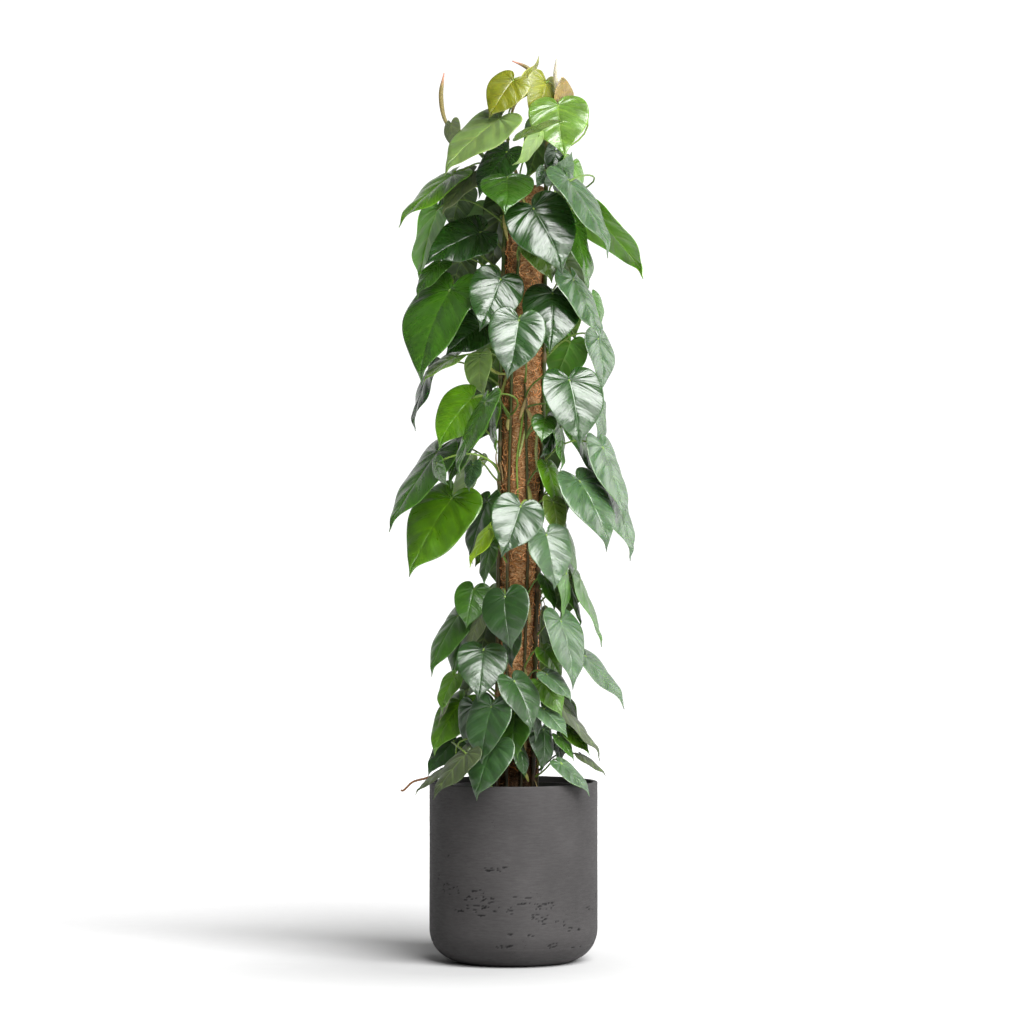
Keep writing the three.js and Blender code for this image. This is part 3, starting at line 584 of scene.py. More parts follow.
def make_faces(points):
    a, b, c = (points[PLAIN_FACES[:, i]] for i in range(3))
    ab = b - a
    ac = c - a
    bb = dots(ab, ab)
    cc = dots(ac, ac)
    bc = dots(ab, ac)
    normal = np.cross(ab, ac)
    normal = normal / np.linalg.norm(normal, axis=1)[:, None]
    return {"a": a, "ab": ab, "ac": ac, "bb": bb, "cc": cc, "bc": bc, "area": bb * cc - bc * bc,
            "normal": normal}


def too_close(stretches, blade, gap):
    a = stretches[:, 0]
    b = stretches[:, 1]
    reach = np.linalg.norm(b - a, axis=1) / 2 + blade["size"] + gap
    near = np.linalg.norm((a + b) / 2 - blade["centre"], axis=1) <= reach
    if not near.any():
        return False
    a = a[near][:, None]
    b = b[near][:, None]
    edges = blade["edges"]
    if (stretch_gaps(a, b, edges[None, :, 0], edges[None, :, 1]) < gap).any():
        return True
    return bool(face_hit(a, b, blade["faces"], gap).any())


def make_blade(leaf):
    points = blade_points(leaf, PLAIN_PLACES)
    centre = leaf["base"] + leaf["along"] * leaf["length"] * 0.42
    size = float(np.linalg.norm(points - centre, axis=1).max())
    return {**leaf, "points": points, "centre": centre, "size": size, "edges": points[PLAIN_EDGES],
            "faces": make_faces(points)}


def blades_cross(one, other):
    if np.linalg.norm(one["centre"] - other["centre"]) > one["size"] + other["size"] + BLADE_GAP:
        return False
    return too_close(one["edges"], other, BLADE_GAP) or too_close(other["edges"], one, BLADE_GAP)


def stretches_of(points):
    return np.stack([points[:-1], points[1:]], axis=1)


def hits_pot(points):
    radius = np.hypot(points[..., 0], points[..., 1])
    outside = radius > PLANTER_RADIUS + OUTSIDE_RIM
    over_soil = points[..., 2] > SOIL_TOP + SOIL_MOUND + OVER_SOIL
    inside = (radius < NURSERY_RIM_RADIUS - INSIDE_RIM) & over_soil
    return bool(((points[..., 2] <= PLANTER_HEIGHT + OVER_RIM) & ~outside & ~inside).any())


def blade_hits_pot(blade):
    a = blade["edges"][:, 0]
    b = blade["edges"][:, 1]
    return any(hits_pot(a + (b - a) * t) for t in (0, 0.25, 0.5, 0.75, 1))


# Placing each leaf where its blade and stalk come clear of what is there

def bezier(control, t):
    t = np.asarray(t, float)[:, None]
    k = 1 - t
    return k ** 3 * control[0] + 3 * k * k * t * control[1] + 3 * k * t * t * control[2] + t ** 3 * control[3]


def spaced(control, steps):
    t = np.linspace(0, 1, STALK_DIVISIONS + 1)
    points = bezier(control, t)
    lengths = lengths_along(points)
    return bezier(control, np.interp(np.linspace(0, lengths[-1], steps + 1), lengths, t))


def stalk_control(stem, leaf, drop, bow):
    start = stem_at(stem["points"], max(leaf["base"][2] - drop, SOIL_TOP + STALK_LOWEST))
    end = blade_points(leaf, np.array([[STALK_JOINT, 0]]))[0]
    distance = np.linalg.norm(end - start)
    axis = pole_axis(start[2])
    outward = level_unit(leaf["base"] - axis)
    leaving = level_unit(start - axis)
    sideways = np.cross(UP, outward) * bow * distance
    first = start + (leaving * STALK_OUT + UP * STALK_UP) * distance + sideways
    second = end - (leaf["along"] + outward) * STALK_IN * distance + sideways
    return np.array([start, first, second, end])


def stalk_is_clear(points, owner, plan):
    stretches = stretches_of(points)
    if hits_pot(points[:-1]):
        return False
    free = stretches[1:]
    low = pole_axis(0)
    high = pole_axis(SLEEVE_TOP - POLE_END_GAP)
    reach = SLEEVE_RADIUS + STALK_RADIUS + POLE_CLEAR
    if (stretch_gaps(free[:, 0], free[:, 1], low, high) < reach).any():
        return False
    if any(too_close(stretches, blade, STALK_RADIUS + ROD_GAP) for blade in plan["blades"]):
        return False
    a = stretches[:, None, 0]
    b = stretches[:, None, 1]
    for rod in plan["rods"]:
        if rod["owner"] == owner:
            continue
        gaps = stretch_gaps(a, b, rod["stretches"][None, :, 0], rod["stretches"][None, :, 1])
        if (gaps < STALK_RADIUS + rod["radius"] + ROD_CLEAR).any():
            return False
    return True


def blade_is_clear(blade, plan):
    if blade_hits_pot(blade):
        return False
    if any(blades_cross(blade, other) for other in plan["blades"]):
        return False
    return not any(too_close(rod["stretches"], blade, rod["radius"] + ROD_GAP) for rod in plan["rods"])


def bearing(point):
    return math.atan2(point[1], point[0] - pole_axis(point[2])[0])


def nearest_stems(leaf, plan):
    lowest = leaf["base"][2] - STEM_SHORTFALL
    reachable = [stem for stem in plan["stems"] if stem["points"][-1][2] > lowest]

    def turn_to(stem):
        turn = bearing(stem_at(stem["points"], leaf["base"][2])) - bearing(leaf["base"])
        return abs(math.atan2(math.sin(turn), math.cos(turn)))

    return sorted(reachable, key=turn_to)[:STEMS_TRIED]


def find_stalk(leaf, plan):
    for stem in nearest_stems(leaf, plan):
        for drop in STALK_DROPS:
            for bow in STALK_BOWS:
                control = stalk_control(stem, leaf, drop, bow)
                points = spaced(control, STALK_STEPS)
                if stalk_is_clear(points, stem["name"], plan):
                    return {"owner": stem["name"], "control": control, "points": points}
    return None


def place(leaf, push, plan):
    for i in range(PUSHES):
        blade = make_blade(push(leaf, i * PUSH_STEP))
        if not blade_is_clear(blade, plan):
            continue
        stalk = find_stalk(blade, plan)
        if stalk:
            blade["owner"] = stalk["owner"]
            blade["stalk"] = stalk["control"]
            plan["blades"].append(blade)
            plan["rods"].append({"owner": stalk["owner"], "radius": STALK_RADIUS,
                                 "stretches": stretches_of(stalk["points"])})
            return


def grow_leaves(stems):
    pole = {"owner": "coir_sleeve", "radius": SLEEVE_RADIUS,
            "stretches": np.array([[pole_axis(0), pole_axis(SLEEVE_TOP - POLE_END_GAP)]])}
    rods = [{"owner": stem["name"], "radius": STEM_RADIUS, "stretches": stretches_of(stem["points"])}
            for stem in stems]
    root = {"owner": RIM_ROOT_OWNER, "radius": RIM_ROOT_RADIUS,
            "stretches": stretches_of(np.array(RIM_ROOT, float))}
    plan = {"stems": stems, "blades": [], "rods": [pole, *rods, root]}
    draw = mulberry(BACK_SEED + 1)
    seen = []
    for row in SEEN_LEAVES:
        seen.append({**shaped(seen_leaf(*row[:6]), draw), "tone": row[6], "reach": abs(row[5])})
    for leaf in sorted(seen, key=lambda leaf: leaf["reach"]):
        place(leaf, push_seen, plan)
    for leaf in back_leaves():
        place(shaped(leaf, draw), push_back, plan)
    return plan


# Meshes

def smoothstep(low, high, value):
    t = np.clip((value - low) / (high - low), 0, 1)
    return t * t * (3 - 2 * t)


def curve_through(points, per_gap):
    """A smooth curve through the points, centripetal, as the part's own stems are."""
    points = np.asarray(points, float)
    first = 2 * points[0] - points[1]
    last = 2 * points[-1] - points[-2]
    padded = np.vstack([first, points, last])
    out = []
    for i in range(1, len(padded) - 2):
        p0, p1, p2, p3 = padded[i - 1:i + 3]
        d0, d1, d2 = (max(np.linalg.norm(b - a) ** 0.5, 1e-4) for a, b in ((p0, p1), (p1, p2), (p2, p3)))
        start = ((p1 - p0) / d0 - (p2 - p0) / (d0 + d1) + (p2 - p1) / d1) * d1
        end = ((p2 - p1) / d1 - (p3 - p1) / (d1 + d2) + (p3 - p2) / d2) * d1
        t = np.linspace(0, 1, per_gap + 1)[:-1, None]
        out.append((2 * t ** 3 - 3 * t ** 2 + 1) * p1 + (t ** 3 - 2 * t ** 2 + t) * start
                   + (3 * t ** 2 - 2 * t ** 3) * p2 + (t ** 3 - t ** 2) * end)
    out.append(points[-1:])
    return np.vstack(out)


def ring_faces(rows, sides):
    """The quads between rows of rings, and the fans from a point below the first and one above the last."""
    side = np.arange(sides)
    after = (side + 1) % sides
    ring = (np.arange(rows - 1) * sides)[:, None]
    quads = np.stack([ring + side, ring + after, ring + sides + after, ring + sides + side], axis=-1)
    count = rows * sides
    last = count - sides
    foot = np.stack([np.full(sides, count), after, side], axis=-1)
    top = np.stack([np.full(sides, count + 1), last + side, last + after], axis=-1)
    return quads.reshape(-1, 4), np.vstack([foot, top])


def new_object(name, data):
    """An object that holds the data, put into the scene."""
    item = bpy.data.objects.new(name, data)
    bpy.context.scene.collection.objects.link(item)
    return item


class Shape:
    """Points, faces, colours and rib coordinates of one piece, collected in millimetres."""

    def __init__(self):
        self.points = []
        self.tones = []
        self.ribs = []
        self.faces = []
        self.count = 0

    def add(self, points, tone, *faces, rib=(0, 0), materials=(0, 0, 0)):
        """Adds points with one tone or a tone each, and arrays of faces with a material for each array."""
        n = len(points)
        self.points.append(points)
        self.tones.append(np.broadcast_to(np.asarray(tone, float), (n, 3)))
        self.ribs.append(np.broadcast_to(np.asarray(rib, float), (n, 2)))
        for group, material in zip(faces, materials):
            self.faces.append((np.asarray(group) + self.count, material))
        self.count += n

    def tube(self, path, radii, sides, tone, material=0, squash=1):
        """A closed tube along the path. squash below 1 makes its section flat."""
        path = np.asarray(path, float)
        radii = np.broadcast_to(np.asarray(radii, float), (len(path),))
        tangents = np.gradient(path, axis=0)
        tangents /= np.linalg.norm(tangents, axis=1)[:, None]
        normal = np.eye(3)[np.argmin(np.abs(tangents[0]))]
        angles = np.arange(sides) * 2 * math.pi / sides
        rings = []
        for centre, tangent, radius in zip(path, tangents, radii):
            normal = unit(normal - tangent * (normal @ tangent))
            across = np.cross(tangent, normal)
            rings.append(centre + radius * (np.outer(np.cos(angles), normal)
                                            + np.outer(np.sin(angles) * squash, across)))
        tone = np.asarray(tone, float)
        if tone.ndim == 2:
            tone = np.vstack([np.repeat(tone, sides, axis=0), tone[:1], tone[-1:]])
        self.add(np.vstack([*rings, path[:1], path[-1:]]), tone, *ring_faces(len(path), sides),
                 materials=(material, material))

    def object(self, name, slot, materials, smooth=True):
        """Makes the piece in metres. It rides on the part's one body; the slot that it is given is not used.
        """
        points = np.vstack(self.points) * MM
        loops = np.concatenate([faces.ravel() for faces, _ in self.faces])
        sizes = np.concatenate([np.full(len(faces), faces.shape[1]) for faces, _ in self.faces])
        slots = np.concatenate([np.full(len(faces), material) for faces, material in self.faces])
        mesh = bpy.data.meshes.new(name)
        mesh.vertices.add(len(points))
        mesh.vertices.foreach_set("co", points.ravel())
        mesh.loops.add(len(loops))
        mesh.loops.foreach_set("vertex_index", loops.astype(np.int32))
        mesh.polygons.add(len(sizes))
        starts = np.concatenate([[0], np.cumsum(sizes)[:-1]])
        mesh.polygons.foreach_set("loop_start", starts.astype(np.int32))
        mesh.polygons.foreach_set("material_index", slots.astype(np.int32))
        mesh.update(calc_edges=True)
        mesh.validate()
        tones = np.vstack(self.tones)
        colour = mesh.color_attributes.new("tone", "FLOAT_COLOR", "POINT")
        colour.data.foreach_set("color", np.hstack([tones, np.ones((len(tones), 1))]).ravel())
        layer = mesh.uv_layers.new(name="rib")
        layer.data.foreach_set("uv", np.vstack(self.ribs)[loops].ravel())
        mesh.polygons.foreach_set("use_smooth", np.full(len(sizes), smooth))
        for material in materials:
            mesh.materials.append(material)
        piece = new_object(name, mesh)
        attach(piece, "root")
        return piece


def lathe(profile, sides):
    """The points and faces of a closed body of revolution whose profile starts and ends on the axis."""
    profile = np.asarray(profile, float)
    angles = np.arange(sides) * 2 * math.pi / sides
    middle = profile[1:-1]
    rings = np.stack([np.outer(middle[:, 0], np.cos(angles)), np.outer(middle[:, 0], np.sin(angles)),
                      np.repeat(middle[:, 1:2], sides, axis=1)], axis=-1)
    ends = np.array([[0, 0, profile[0, 1]], [0, 0, profile[-1, 1]]])
    return np.vstack([rings.reshape(-1, 3), ends]), ring_faces(len(middle), sides)


def outward_of(points):
    """The level direction from the axis to each point, and the distance."""
    radial = points * [1, 1, 0]
    reach = np.linalg.norm(radial, axis=1)
    return radial / np.maximum(reach, 1)[:, None], reach


def arc(centre, radius, from_degrees, to_degrees, steps):
    angles = np.radians(np.linspace(from_degrees, to_degrees, steps + 1))
    return [(centre[0] + radius * math.cos(a), centre[1] + radius * math.sin(a)) for a in angles]


def noise_at(points, size, seed):
    """Smooth noise at each point, from -1 to 1, with lumps of the given size in mm."""
    shift = Vector((seed * 7.31, seed * 3.77, seed * 5.13))
    return np.array([noise.noise(Vector(p) / size + shift) for p in points])


# Materials

class Graph:
    """The nodes of a material or of the world."""

    def __init__(self, owner):
        owner.use_nodes = True
        self.owner = owner
        self.tree = owner.node_tree

    def feed(self, node, inputs):
        """Links each output to its socket, and sets each number, vector or colour on its socket."""
        for key, term in inputs.items():
            socket = node.inputs[key]
            if isinstance(term, bpy.types.NodeSocket):
                self.tree.links.new(term, socket)
            else:
                socket.default_value = (*term, 1) if socket.type == "RGBA" else term

    def node(self, kind, inputs, output=0, **settings):
        node = self.tree.nodes.new("ShaderNode" + kind)
        for key, setting in settings.items():
            setattr(node, key, setting)
        self.feed(node, inputs)
        return node.outputs[output]

    def value(self, operation, *terms):
        return self.node("Math", dict(enumerate(terms)), operation=operation)

    def ramp(self, factor, *stops):
        """A colour ramp. A stop is a position and a colour, or a position and a level of grey."""
        output = self.node("ValToRGB", {0: factor})
        elements = output.node.color_ramp.elements
        while len(elements) < len(stops):
            elements.new(0.5)
        for element, (position, colour) in zip(elements, stops):
            element.position = position
            element.color = (*(colour if isinstance(colour, tuple) else (colour,) * 3), 1)
        return output

    def mix(self, factor, a, b, blend="MIX"):
        return self.node("Mix", {0: factor, 6: a, 7: b}, 2, data_type="RGBA", blend_type=blend)

    def times(self, first, *others):
        """The first colour multiplied by each of the others in turn."""
        for other in others:
            first = self.mix(1.0, first, other, "MULTIPLY")
        return first

    def place(self, stretch=(1, 1, 1), shift=(0, 0, 0)):
        """The place on the object, in metres before the stretch."""
        spot = self.node("TexCoord", {}, "Object")
        return self.node("Mapping", {"Vector": spot, "Scale": stretch, "Location": shift})

    def rib_place(self, stretch=(1, 1, 1)):
        """The place on a blade: x counts the veins from the stalk end, y runs from the midrib to the edge."""
        return self.node("Mapping", {"Vector": self.node("UVMap", {}, uv_map="rib"), "Scale": stretch})

    def part_of(self, vector, axis):
        return self.node("SeparateXYZ", {0: vector}, axis)

    def noise(self, place, scale, detail=4, roughness=0.55):
        return self.node("TexNoise", {"Vector": place, "Scale": scale, "Detail": detail,
                                      "Roughness": roughness})

    def bump(self, height, strength, distance):
        return self.node("Bump", {"Height": height, "Strength": strength, "Distance": distance})

    def tone(self):
        """The colour that comes with the points."""
        return self.node("Attribute", {}, "Color", attribute_name="tone")

    def surface(self, inputs):
        self.feed(self.tree.nodes["Principled BSDF"], inputs)
        return self.owner


def new_graph(name):
    return Graph(bpy.data.materials.new(name))


VEINS = 7


def vein_mask(graph):
    """1 on the veins and the midrib, 0 between them."""
    spot = graph.rib_place()
    away = graph.value("ABSOLUTE", graph.part_of(spot, 1))
    turn = graph.value("COSINE", graph.value("MULTIPLY", graph.part_of(spot, 0), 2 * math.pi))
    line = graph.ramp(graph.value("MULTIPLY_ADD", turn, 0.5, 0.5), (0, 0), (0.9, 0), (1, 1))
    fade = graph.ramp(away, (0, 1), (0.55, 0.55), (0.95, 0))
    middle = graph.ramp(away, (0, 1), (0.018, 0.9), (0.045, 0))
    return graph.value("MAXIMUM", graph.value("MULTIPLY", line, fade), middle)


def leaf_material(name, upper):
    graph = new_graph(name)
    place = graph.place()
    tone = graph.tone()
    pleats = graph.noise(graph.rib_place((2.6, 1.1, 1)), 1, 2, 0.6)
    streaks = graph.noise(graph.rib_place((5, 1.3, 1)), 1, 3, 0.6)
    grain = graph.noise(place, 700, 2)
    veins = vein_mask(graph)
    colour = graph.times(tone, graph.ramp(graph.noise(place, 38, 3), (0.3, 0.70), (0.7, 1.16)))
    if upper:
        lit = graph.times(colour, (1.9, 1.6, 1.5))
        colour = graph.mix(graph.value("MULTIPLY", veins, 0.42), colour, lit)
        gloss = graph.ramp(streaks, (0.3, 0.22), (0.7, 0.36))
        red = graph.node("SeparateColor", {0: tone})
        satin = graph.ramp(red, (0.13, 0), (0.2, 0.18))
        worn = graph.ramp(graph.part_of(place, 2), (0.50, 0.10), (0.85, 0))
        rough = graph.value("ADD", graph.value("ADD", gloss, satin), worn)
    else:
        colour = graph.mix(0.22, colour, (0.16, 0.21, 0.085))
        colour = graph.mix(graph.value("MULTIPLY", veins, 0.32), colour, (0.26, 0.38, 0.09))
        rough = graph.ramp(streaks, (0.3, 0.40), (0.7, 0.55))
    folds = graph.value("ADD", graph.value("MULTIPLY", pleats, 3.4), graph.value("MULTIPLY", streaks, 0.15))
    relief = graph.value("ADD", folds, graph.value("MULTIPLY", grain, 0.03))
    veined = graph.value("MULTIPLY", veins, -0.4 if upper else 0.7)
    return graph.surface({
        "Base Color": colour,
        "Roughness": rough,
        "Subsurface Weight": 0.3,
        "Subsurface Radius": (0.6, 1.0, 0.15),
        "Subsurface Scale": 0.0016,
        "Specular IOR Level": 0.88 if upper else 0.4,
        "Normal": graph.bump(graph.value("ADD", veined, relief), 0.5, 0.001),
    })


def tissue_material(name, roughness, spots):
    """Stems, stalks, shoots and roots."""
    graph = new_graph(name)
    place = graph.place()
    fine = graph.noise(place, 420, 4)
    colour = graph.times(graph.tone(), graph.ramp(fine, (0.3, 0.72), (0.7, 1.25)))
    flecks = graph.ramp(graph.noise(place, 900, 2), (0.62, 0), (0.7, spots))
    return graph.surface({
        "Base Color": graph.mix(flecks, colour, (0.10, 0.05, 0.02)),
        "Roughness": graph.ramp(fine, (0.3, roughness - 0.08), (0.7, roughness + 0.08)),
        "Specular IOR Level": 0.35,
        "Subsurface Weight": 0.12,
        "Subsurface Radius": (0.8, 1.0, 0.3),
        "Subsurface Scale": 0.001,
        "Normal": graph.bump(fine, 0.5, 0.0005),
    })


def coir_material():
    graph = new_graph("coir")
    strands = graph.noise(graph.place((1, 1, 2.2)), 200, 7, 0.75)
    # The strands' noise also sets their height, so the dark low end of this ramp is painted shade in the gaps
    # between strands; the higher stops are the fibres' colour
    colour = graph.ramp(strands, (0.36, (0.14, 0.042, 0.012)), (0.46, (0.60, 0.26, 0.095)),
                        (0.55, (0.84, 0.48, 0.23)), (0.66, (0.95, 0.72, 0.46)))
    clumps = graph.ramp(graph.noise(graph.place(), 60, 3), (0.35, 0.6), (0.6, 1))
    return graph.surface({
        "Base Color": graph.times(colour, clumps, graph.tone()),
        "Roughness": graph.ramp(strands, (0.3, 0.95), (0.7, 0.7)),
        "Specular IOR Level": 0.2,
        "Normal": graph.bump(strands, 1.0, 0.003),
    })


def wood_material():
    graph = new_graph("pole_wood")
    rings = graph.noise(graph.place((1, 1, 0.06)), 300, 5)
    return graph.surface({
        "Base Color": graph.ramp(rings, (0.3, (0.20, 0.11, 0.05)), (0.7, (0.48, 0.31, 0.15))),
        "Roughness": graph.ramp(rings, (0.3, 0.75), (0.7, 0.6)),
        "Normal": graph.bump(rings, 0.4, 0.0006),
    })


def concrete_material():
    graph = new_graph("planter_concrete")
    place = graph.place()
    flat = graph.place((1, 1, 6))
    streaks = graph.noise(flat, 70, 6, 0.65)
    fine = graph.noise(flat, 520, 4, 0.7)
    clouds = graph.ramp(graph.noise(place, 11, 4), (0.3, (0.033, 0.031, 0.031)), (0.7, (0.048, 0.045, 0.045)))
    colour = graph.times(clouds, graph.ramp(streaks, (0.3, 0.90), (0.7, 1.09)),
                         graph.ramp(fine, (0.3, 0.88), (0.7, 1.10)), graph.tone())
    cells = graph.node("TexVoronoi", {"Vector": graph.place((1, 1, 2.4)), "Scale": 170}, "Distance")
    patch = graph.ramp(graph.noise(place, 26, 2), (0.52, 0), (0.72, 0.2))
    pits = graph.value("LESS_THAN", cells, patch)
    worn = graph.value("ADD", graph.value("MULTIPLY", fine, 0.5), graph.value("MULTIPLY", streaks, 0.5))
    return graph.surface({
        # Painted shade in the fine pits: besides being sunk by the bump, they are mixed nearly black
        "Base Color": graph.mix(graph.value("MULTIPLY", pits, 0.75), colour, (0.008, 0.008, 0.008)),
        "Roughness": graph.ramp(streaks, (0.3, 0.78), (0.7, 0.6)),
        "Specular IOR Level": 0.25,
        "Normal": graph.bump(graph.value("SUBTRACT", worn, pits), 0.3, 0.0008),
    })


def plastic_material():
    graph = new_graph("nursery_plastic")
    scuffs = graph.noise(graph.place((1, 1, 0.2)), 160, 5, 0.7)
    dust = graph.noise(graph.place(), 40, 4)
    return graph.surface({
        "Base Color": graph.ramp(dust, (0.35, (0.010, 0.010, 0.011)), (0.75, (0.03, 0.028, 0.026))),
        "Roughness": graph.ramp(scuffs, (0.3, 0.3), (0.7, 0.52)),
        "Normal": graph.bump(scuffs, 0.2, 0.0004),
    })


def soil_material():
    graph = new_graph("potting_soil")
    place = graph.place()
    crumbs = graph.noise(place, 330, 8, 0.75)
    colour = graph.ramp(crumbs, (0.3, (0.006, 0.004, 0.003)), (0.55, (0.028, 0.017, 0.011)),
                        (0.75, (0.085, 0.055, 0.034)))
    damp = graph.ramp(graph.noise(place, 30, 3), (0.3, 0.7), (0.7, 1.3))
    return graph.surface({
        "Base Color": graph.times(colour, damp, graph.tone()),
        "Roughness": graph.ramp(crumbs, (0.3, 0.8), (0.7, 1)),
        "Normal": graph.bump(crumbs, 1.0, 0.002),
    })


def floor_material():
    """A pale floor with painted shade round the plant, centred a little to its left and front; it is brighter
    and glows faintly far from the plant.
    """
    graph = new_graph("studio_floor")
    spot = graph.place((0.4, 0.4, 0.4), (0.032, 0.020, 0))
    near = graph.node("TexGradient", {"Vector": spot}, "Fac", gradient_type="SPHERICAL")
    # Painted shade: the floor is darker close to the plant
    tone = graph.ramp(near, (0.2, 0.9), (0.7, 0.72), (0.84, 0.62), (0.89, 0.55), (0.94, 0.48))
    return graph.surface({
        "Base Color": graph.times(tone, graph.ramp(graph.noise(graph.place(), 30, 3), (0.3, 0.98), (0.7, 1))),
        "Emission Color": graph.ramp(near, (0.1, 0.25), (0.55, 0)),
        "Emission Strength": 1,
        "Roughness": 0.9,
        "Specular IOR Level": 0.1,
    })


LEAF_UPPER = leaf_material("leaf_upper", True)
LEAF_UNDER = leaf_material("leaf_under", False)
GREEN_TISSUE = tissue_material("green_tissue", 0.42, 0.5)
DRY_TISSUE = tissue_material("dry_tissue", 0.7, 0.3)


# Leaf blades

RIB_ROWS = 35
RIB_PLACES = np.array([0, 0.025, 0.07, 0.14, 0.24, 0.36, 0.49, 0.62, 0.75, 0.87, 0.95, 1.0])
LEAF_OUTLINE = [(-0.012, 0.006), (-0.1, 0.055), (-0.165, 0.15), (-0.135, 0.30), (-0.02, 0.405), (0.2, 0.455),
                (0.4, 0.425), (0.57, 0.35), (0.71, 0.245), (0.82, 0.135), (0.895, 0.062), (0.95, 0.025),
                (1.015, 0.002)]
LEAF_THICKNESS = 0.8
MIDRIB_RADIUS = 1.25


def leaf_grid():
    """One blade for a length of 1: along, across, the share of each rib, and its place round the outline."""
    outline = curve_through([(u, w, 0) for u, w in LEAF_OUTLINE], 24)[:, :2]
    lengths = lengths_along(outline)
    even = np.linspace(0, lengths[-1], RIB_ROWS + 1)
    edge_u = np.interp(even, lengths, outline[:, 0])
    edge_w = np.interp(even, lengths, outline[:, 1])
    row = np.arange(RIB_ROWS + 1) / RIB_ROWS
    foot = np.maximum(edge_u - 0.72 * edge_w, 0.004 + 0.05 * row)
    foot = np.minimum(np.maximum.accumulate(foot + 0.0001 * np.arange(RIB_ROWS + 1)), edge_u[-1])
    s = np.concatenate([-RIB_PLACES[:0:-1], RIB_PLACES])
    share = np.abs(s)
    u = foot[:, None] + (edge_u - foot)[:, None] * share ** 1.18
    w = edge_w[:, None] * np.sign(s) * share ** 0.94
    return u, w, np.broadcast_to(s, u.shape), np.broadcast_to(row[:, None], u.shape)


GRID_U, GRID_W, GRID_S, GRID_ROW = leaf_grid()


def grid_faces():
    rows, columns = GRID_U.shape
    row = (np.arange(rows - 1) * columns)[:, None]
    column = np.arange(columns - 1)
    upper = np.stack([row + column, row + columns + column, row + columns + column + 1, row + column + 1],
                     axis=-1).reshape(-1, 4)
    left = np.arange(rows) * columns
    right = left + columns - 1
    loop = np.concatenate([left, rows * columns - columns + np.arange(1, columns), right[-2::-1],
                           np.arange(columns - 2, 0, -1)])
    after = np.roll(loop, -1)
    n = rows * columns
    edge = np.stack([loop, loop + n, after + n, after], axis=-1)
    return upper, upper[:, ::-1] + n, edge


GRID_FACES = grid_faces()


def add_leaf(shape, leaf, draw):
    """A blade with quilted halves, sunken veins, a wavy edge and a drip tip."""
    length = leaf["length"]
    across = np.cross(leaf["face"], leaf["along"])
    u, w, s, row = GRID_U, GRID_W, GRID_S, GRID_ROW
    share = np.abs(s)
    arch = leaf["arch"] * np.where(u > 0, 4 * u * (1 - u), 4 * u)
    lift = arch + leaf["fold"] * (np.sqrt(w * w + 0.0009) - 0.03)
    quilt = np.sin(math.pi * VEINS * row) ** 2 * (4 * share * (1 - share)) ** 0.6
    lift = lift + (0.013 + 0.010 * draw()) * quilt
    lift = lift - 0.003 * np.exp(-(share / 0.05) ** 2)
    phase = 2 * math.pi * draw()
    side = np.where(s > 0, 1.7 * draw(), 0)
    wave = np.sin(2 * math.pi * (2 + 1.2 * draw()) * row + phase + side)
    lift = lift + (0.010 + 0.018 * draw()) * wave * share ** 3 * np.minimum(1, 6 * (1 - row))
    lift = lift - 0.25 * w * w * (0.5 + draw())
    lift = lift - 0.05 * smoothstep(0.82, 1.0, u) ** 2 * (0.3 + draw())
    bend = (draw() - 0.5) * 0.10 * smoothstep(0.5, 1.0, u) ** 2
    top = leaf["base"] + length * (u[..., None] * leaf["along"] + (w + bend)[..., None] * across
                                   + lift[..., None] * leaf["face"])
    thick = LEAF_THICKNESS * (0.45 + 0.55 * np.minimum(1, 5 * (1 - share)))
    low = top - thick[..., None] * leaf["face"]
    points = np.vstack([top.reshape(-1, 3), low.reshape(-1, 3)])
    rib = np.stack([row * VEINS + (VEINS + 1) * int(40 * draw()), s], axis=-1).reshape(-1, 2)
    base = np.array(TONES[leaf["tone"]])
    shade = base * (0.85 + 0.3 * draw())
    edge_tone = np.minimum(shade * np.array([2.0, 1.65, 1.5]) + 0.015, 0.9)
    blend = smoothstep(0.94, 1.0, share)[..., None] * 0.6
    tones = (shade * (1 - blend) + edge_tone * blend).reshape(-1, 3)
    turned = leaf["tone"] in ("under", "shade")
    shape.add(points, np.vstack([tones, tones]), *GRID_FACES, rib=np.vstack([rib, rib]),
              materials=(int(turned), 1, 1))
    middle = GRID_U.shape[1] // 2
    reach = int(RIB_ROWS * 0.93)
    first = int(RIB_ROWS * 0.2)
    spine = low[first:reach:3, middle]
    spine = np.vstack([blade_points(leaf, np.array([[0.04, 0]]))[0], spine])
    radii = np.linspace(MIDRIB_RADIUS, 0.35, len(spine)) * (length / 110)
    shape.tube(spine, radii, 6, np.minimum(base * 1.5 + 0.03, 0.9), 1)


def add_spear(shape, leaf):
    """A new leaf still rolled up in its sheath."""
    t = np.linspace(0, 1, 14)
    path = leaf["base"] + np.outer(t * leaf["length"], leaf["along"])
    path = path + np.outer(np.sin(math.pi * t) * 2.5, leaf["face"])
    radii = 0.35 + 9.2 * np.sin(math.pi * np.clip(0.12 + 0.88 * t, 0, 1)) ** 0.8
    tones = np.array([TONES[leaf["tone"]]]) * (0.8 + 0.2 * smoothstep(0, 0.5, t))[:, None]
    shape.tube(path, radii, 12, tones, squash=0.9)


STALK_GREEN = np.array([0.17, 0.27, 0.04])
STALK_DARK = np.array([0.05, 0.10, 0.018])
STEM_GREEN = np.array([0.050, 0.085, 0.014])
STEM_BROWN = np.array([0.062, 0.036, 0.015])
ROOT_BROWN = np.array([0.26, 0.105, 0.03])
ROOT_ORANGE = np.array([0.48, 0.20, 0.05])
SHEATH_TAN = np.array([0.42, 0.29, 0.13])
STALK_YELLOW = np.array([0.34, 0.38, 0.09])
SHOOT_TAN = np.array([0.21, 0.17, 0.058])
SHOOT_PINK = np.array([0.62, 0.27, 0.20])

# How thick the stems before the pole and beside it look
FRONT_VINES = ("vine_front", "vine_front_left")
FRONT_GIRTH = 0.8
SIDE_GIRTH = 1.15


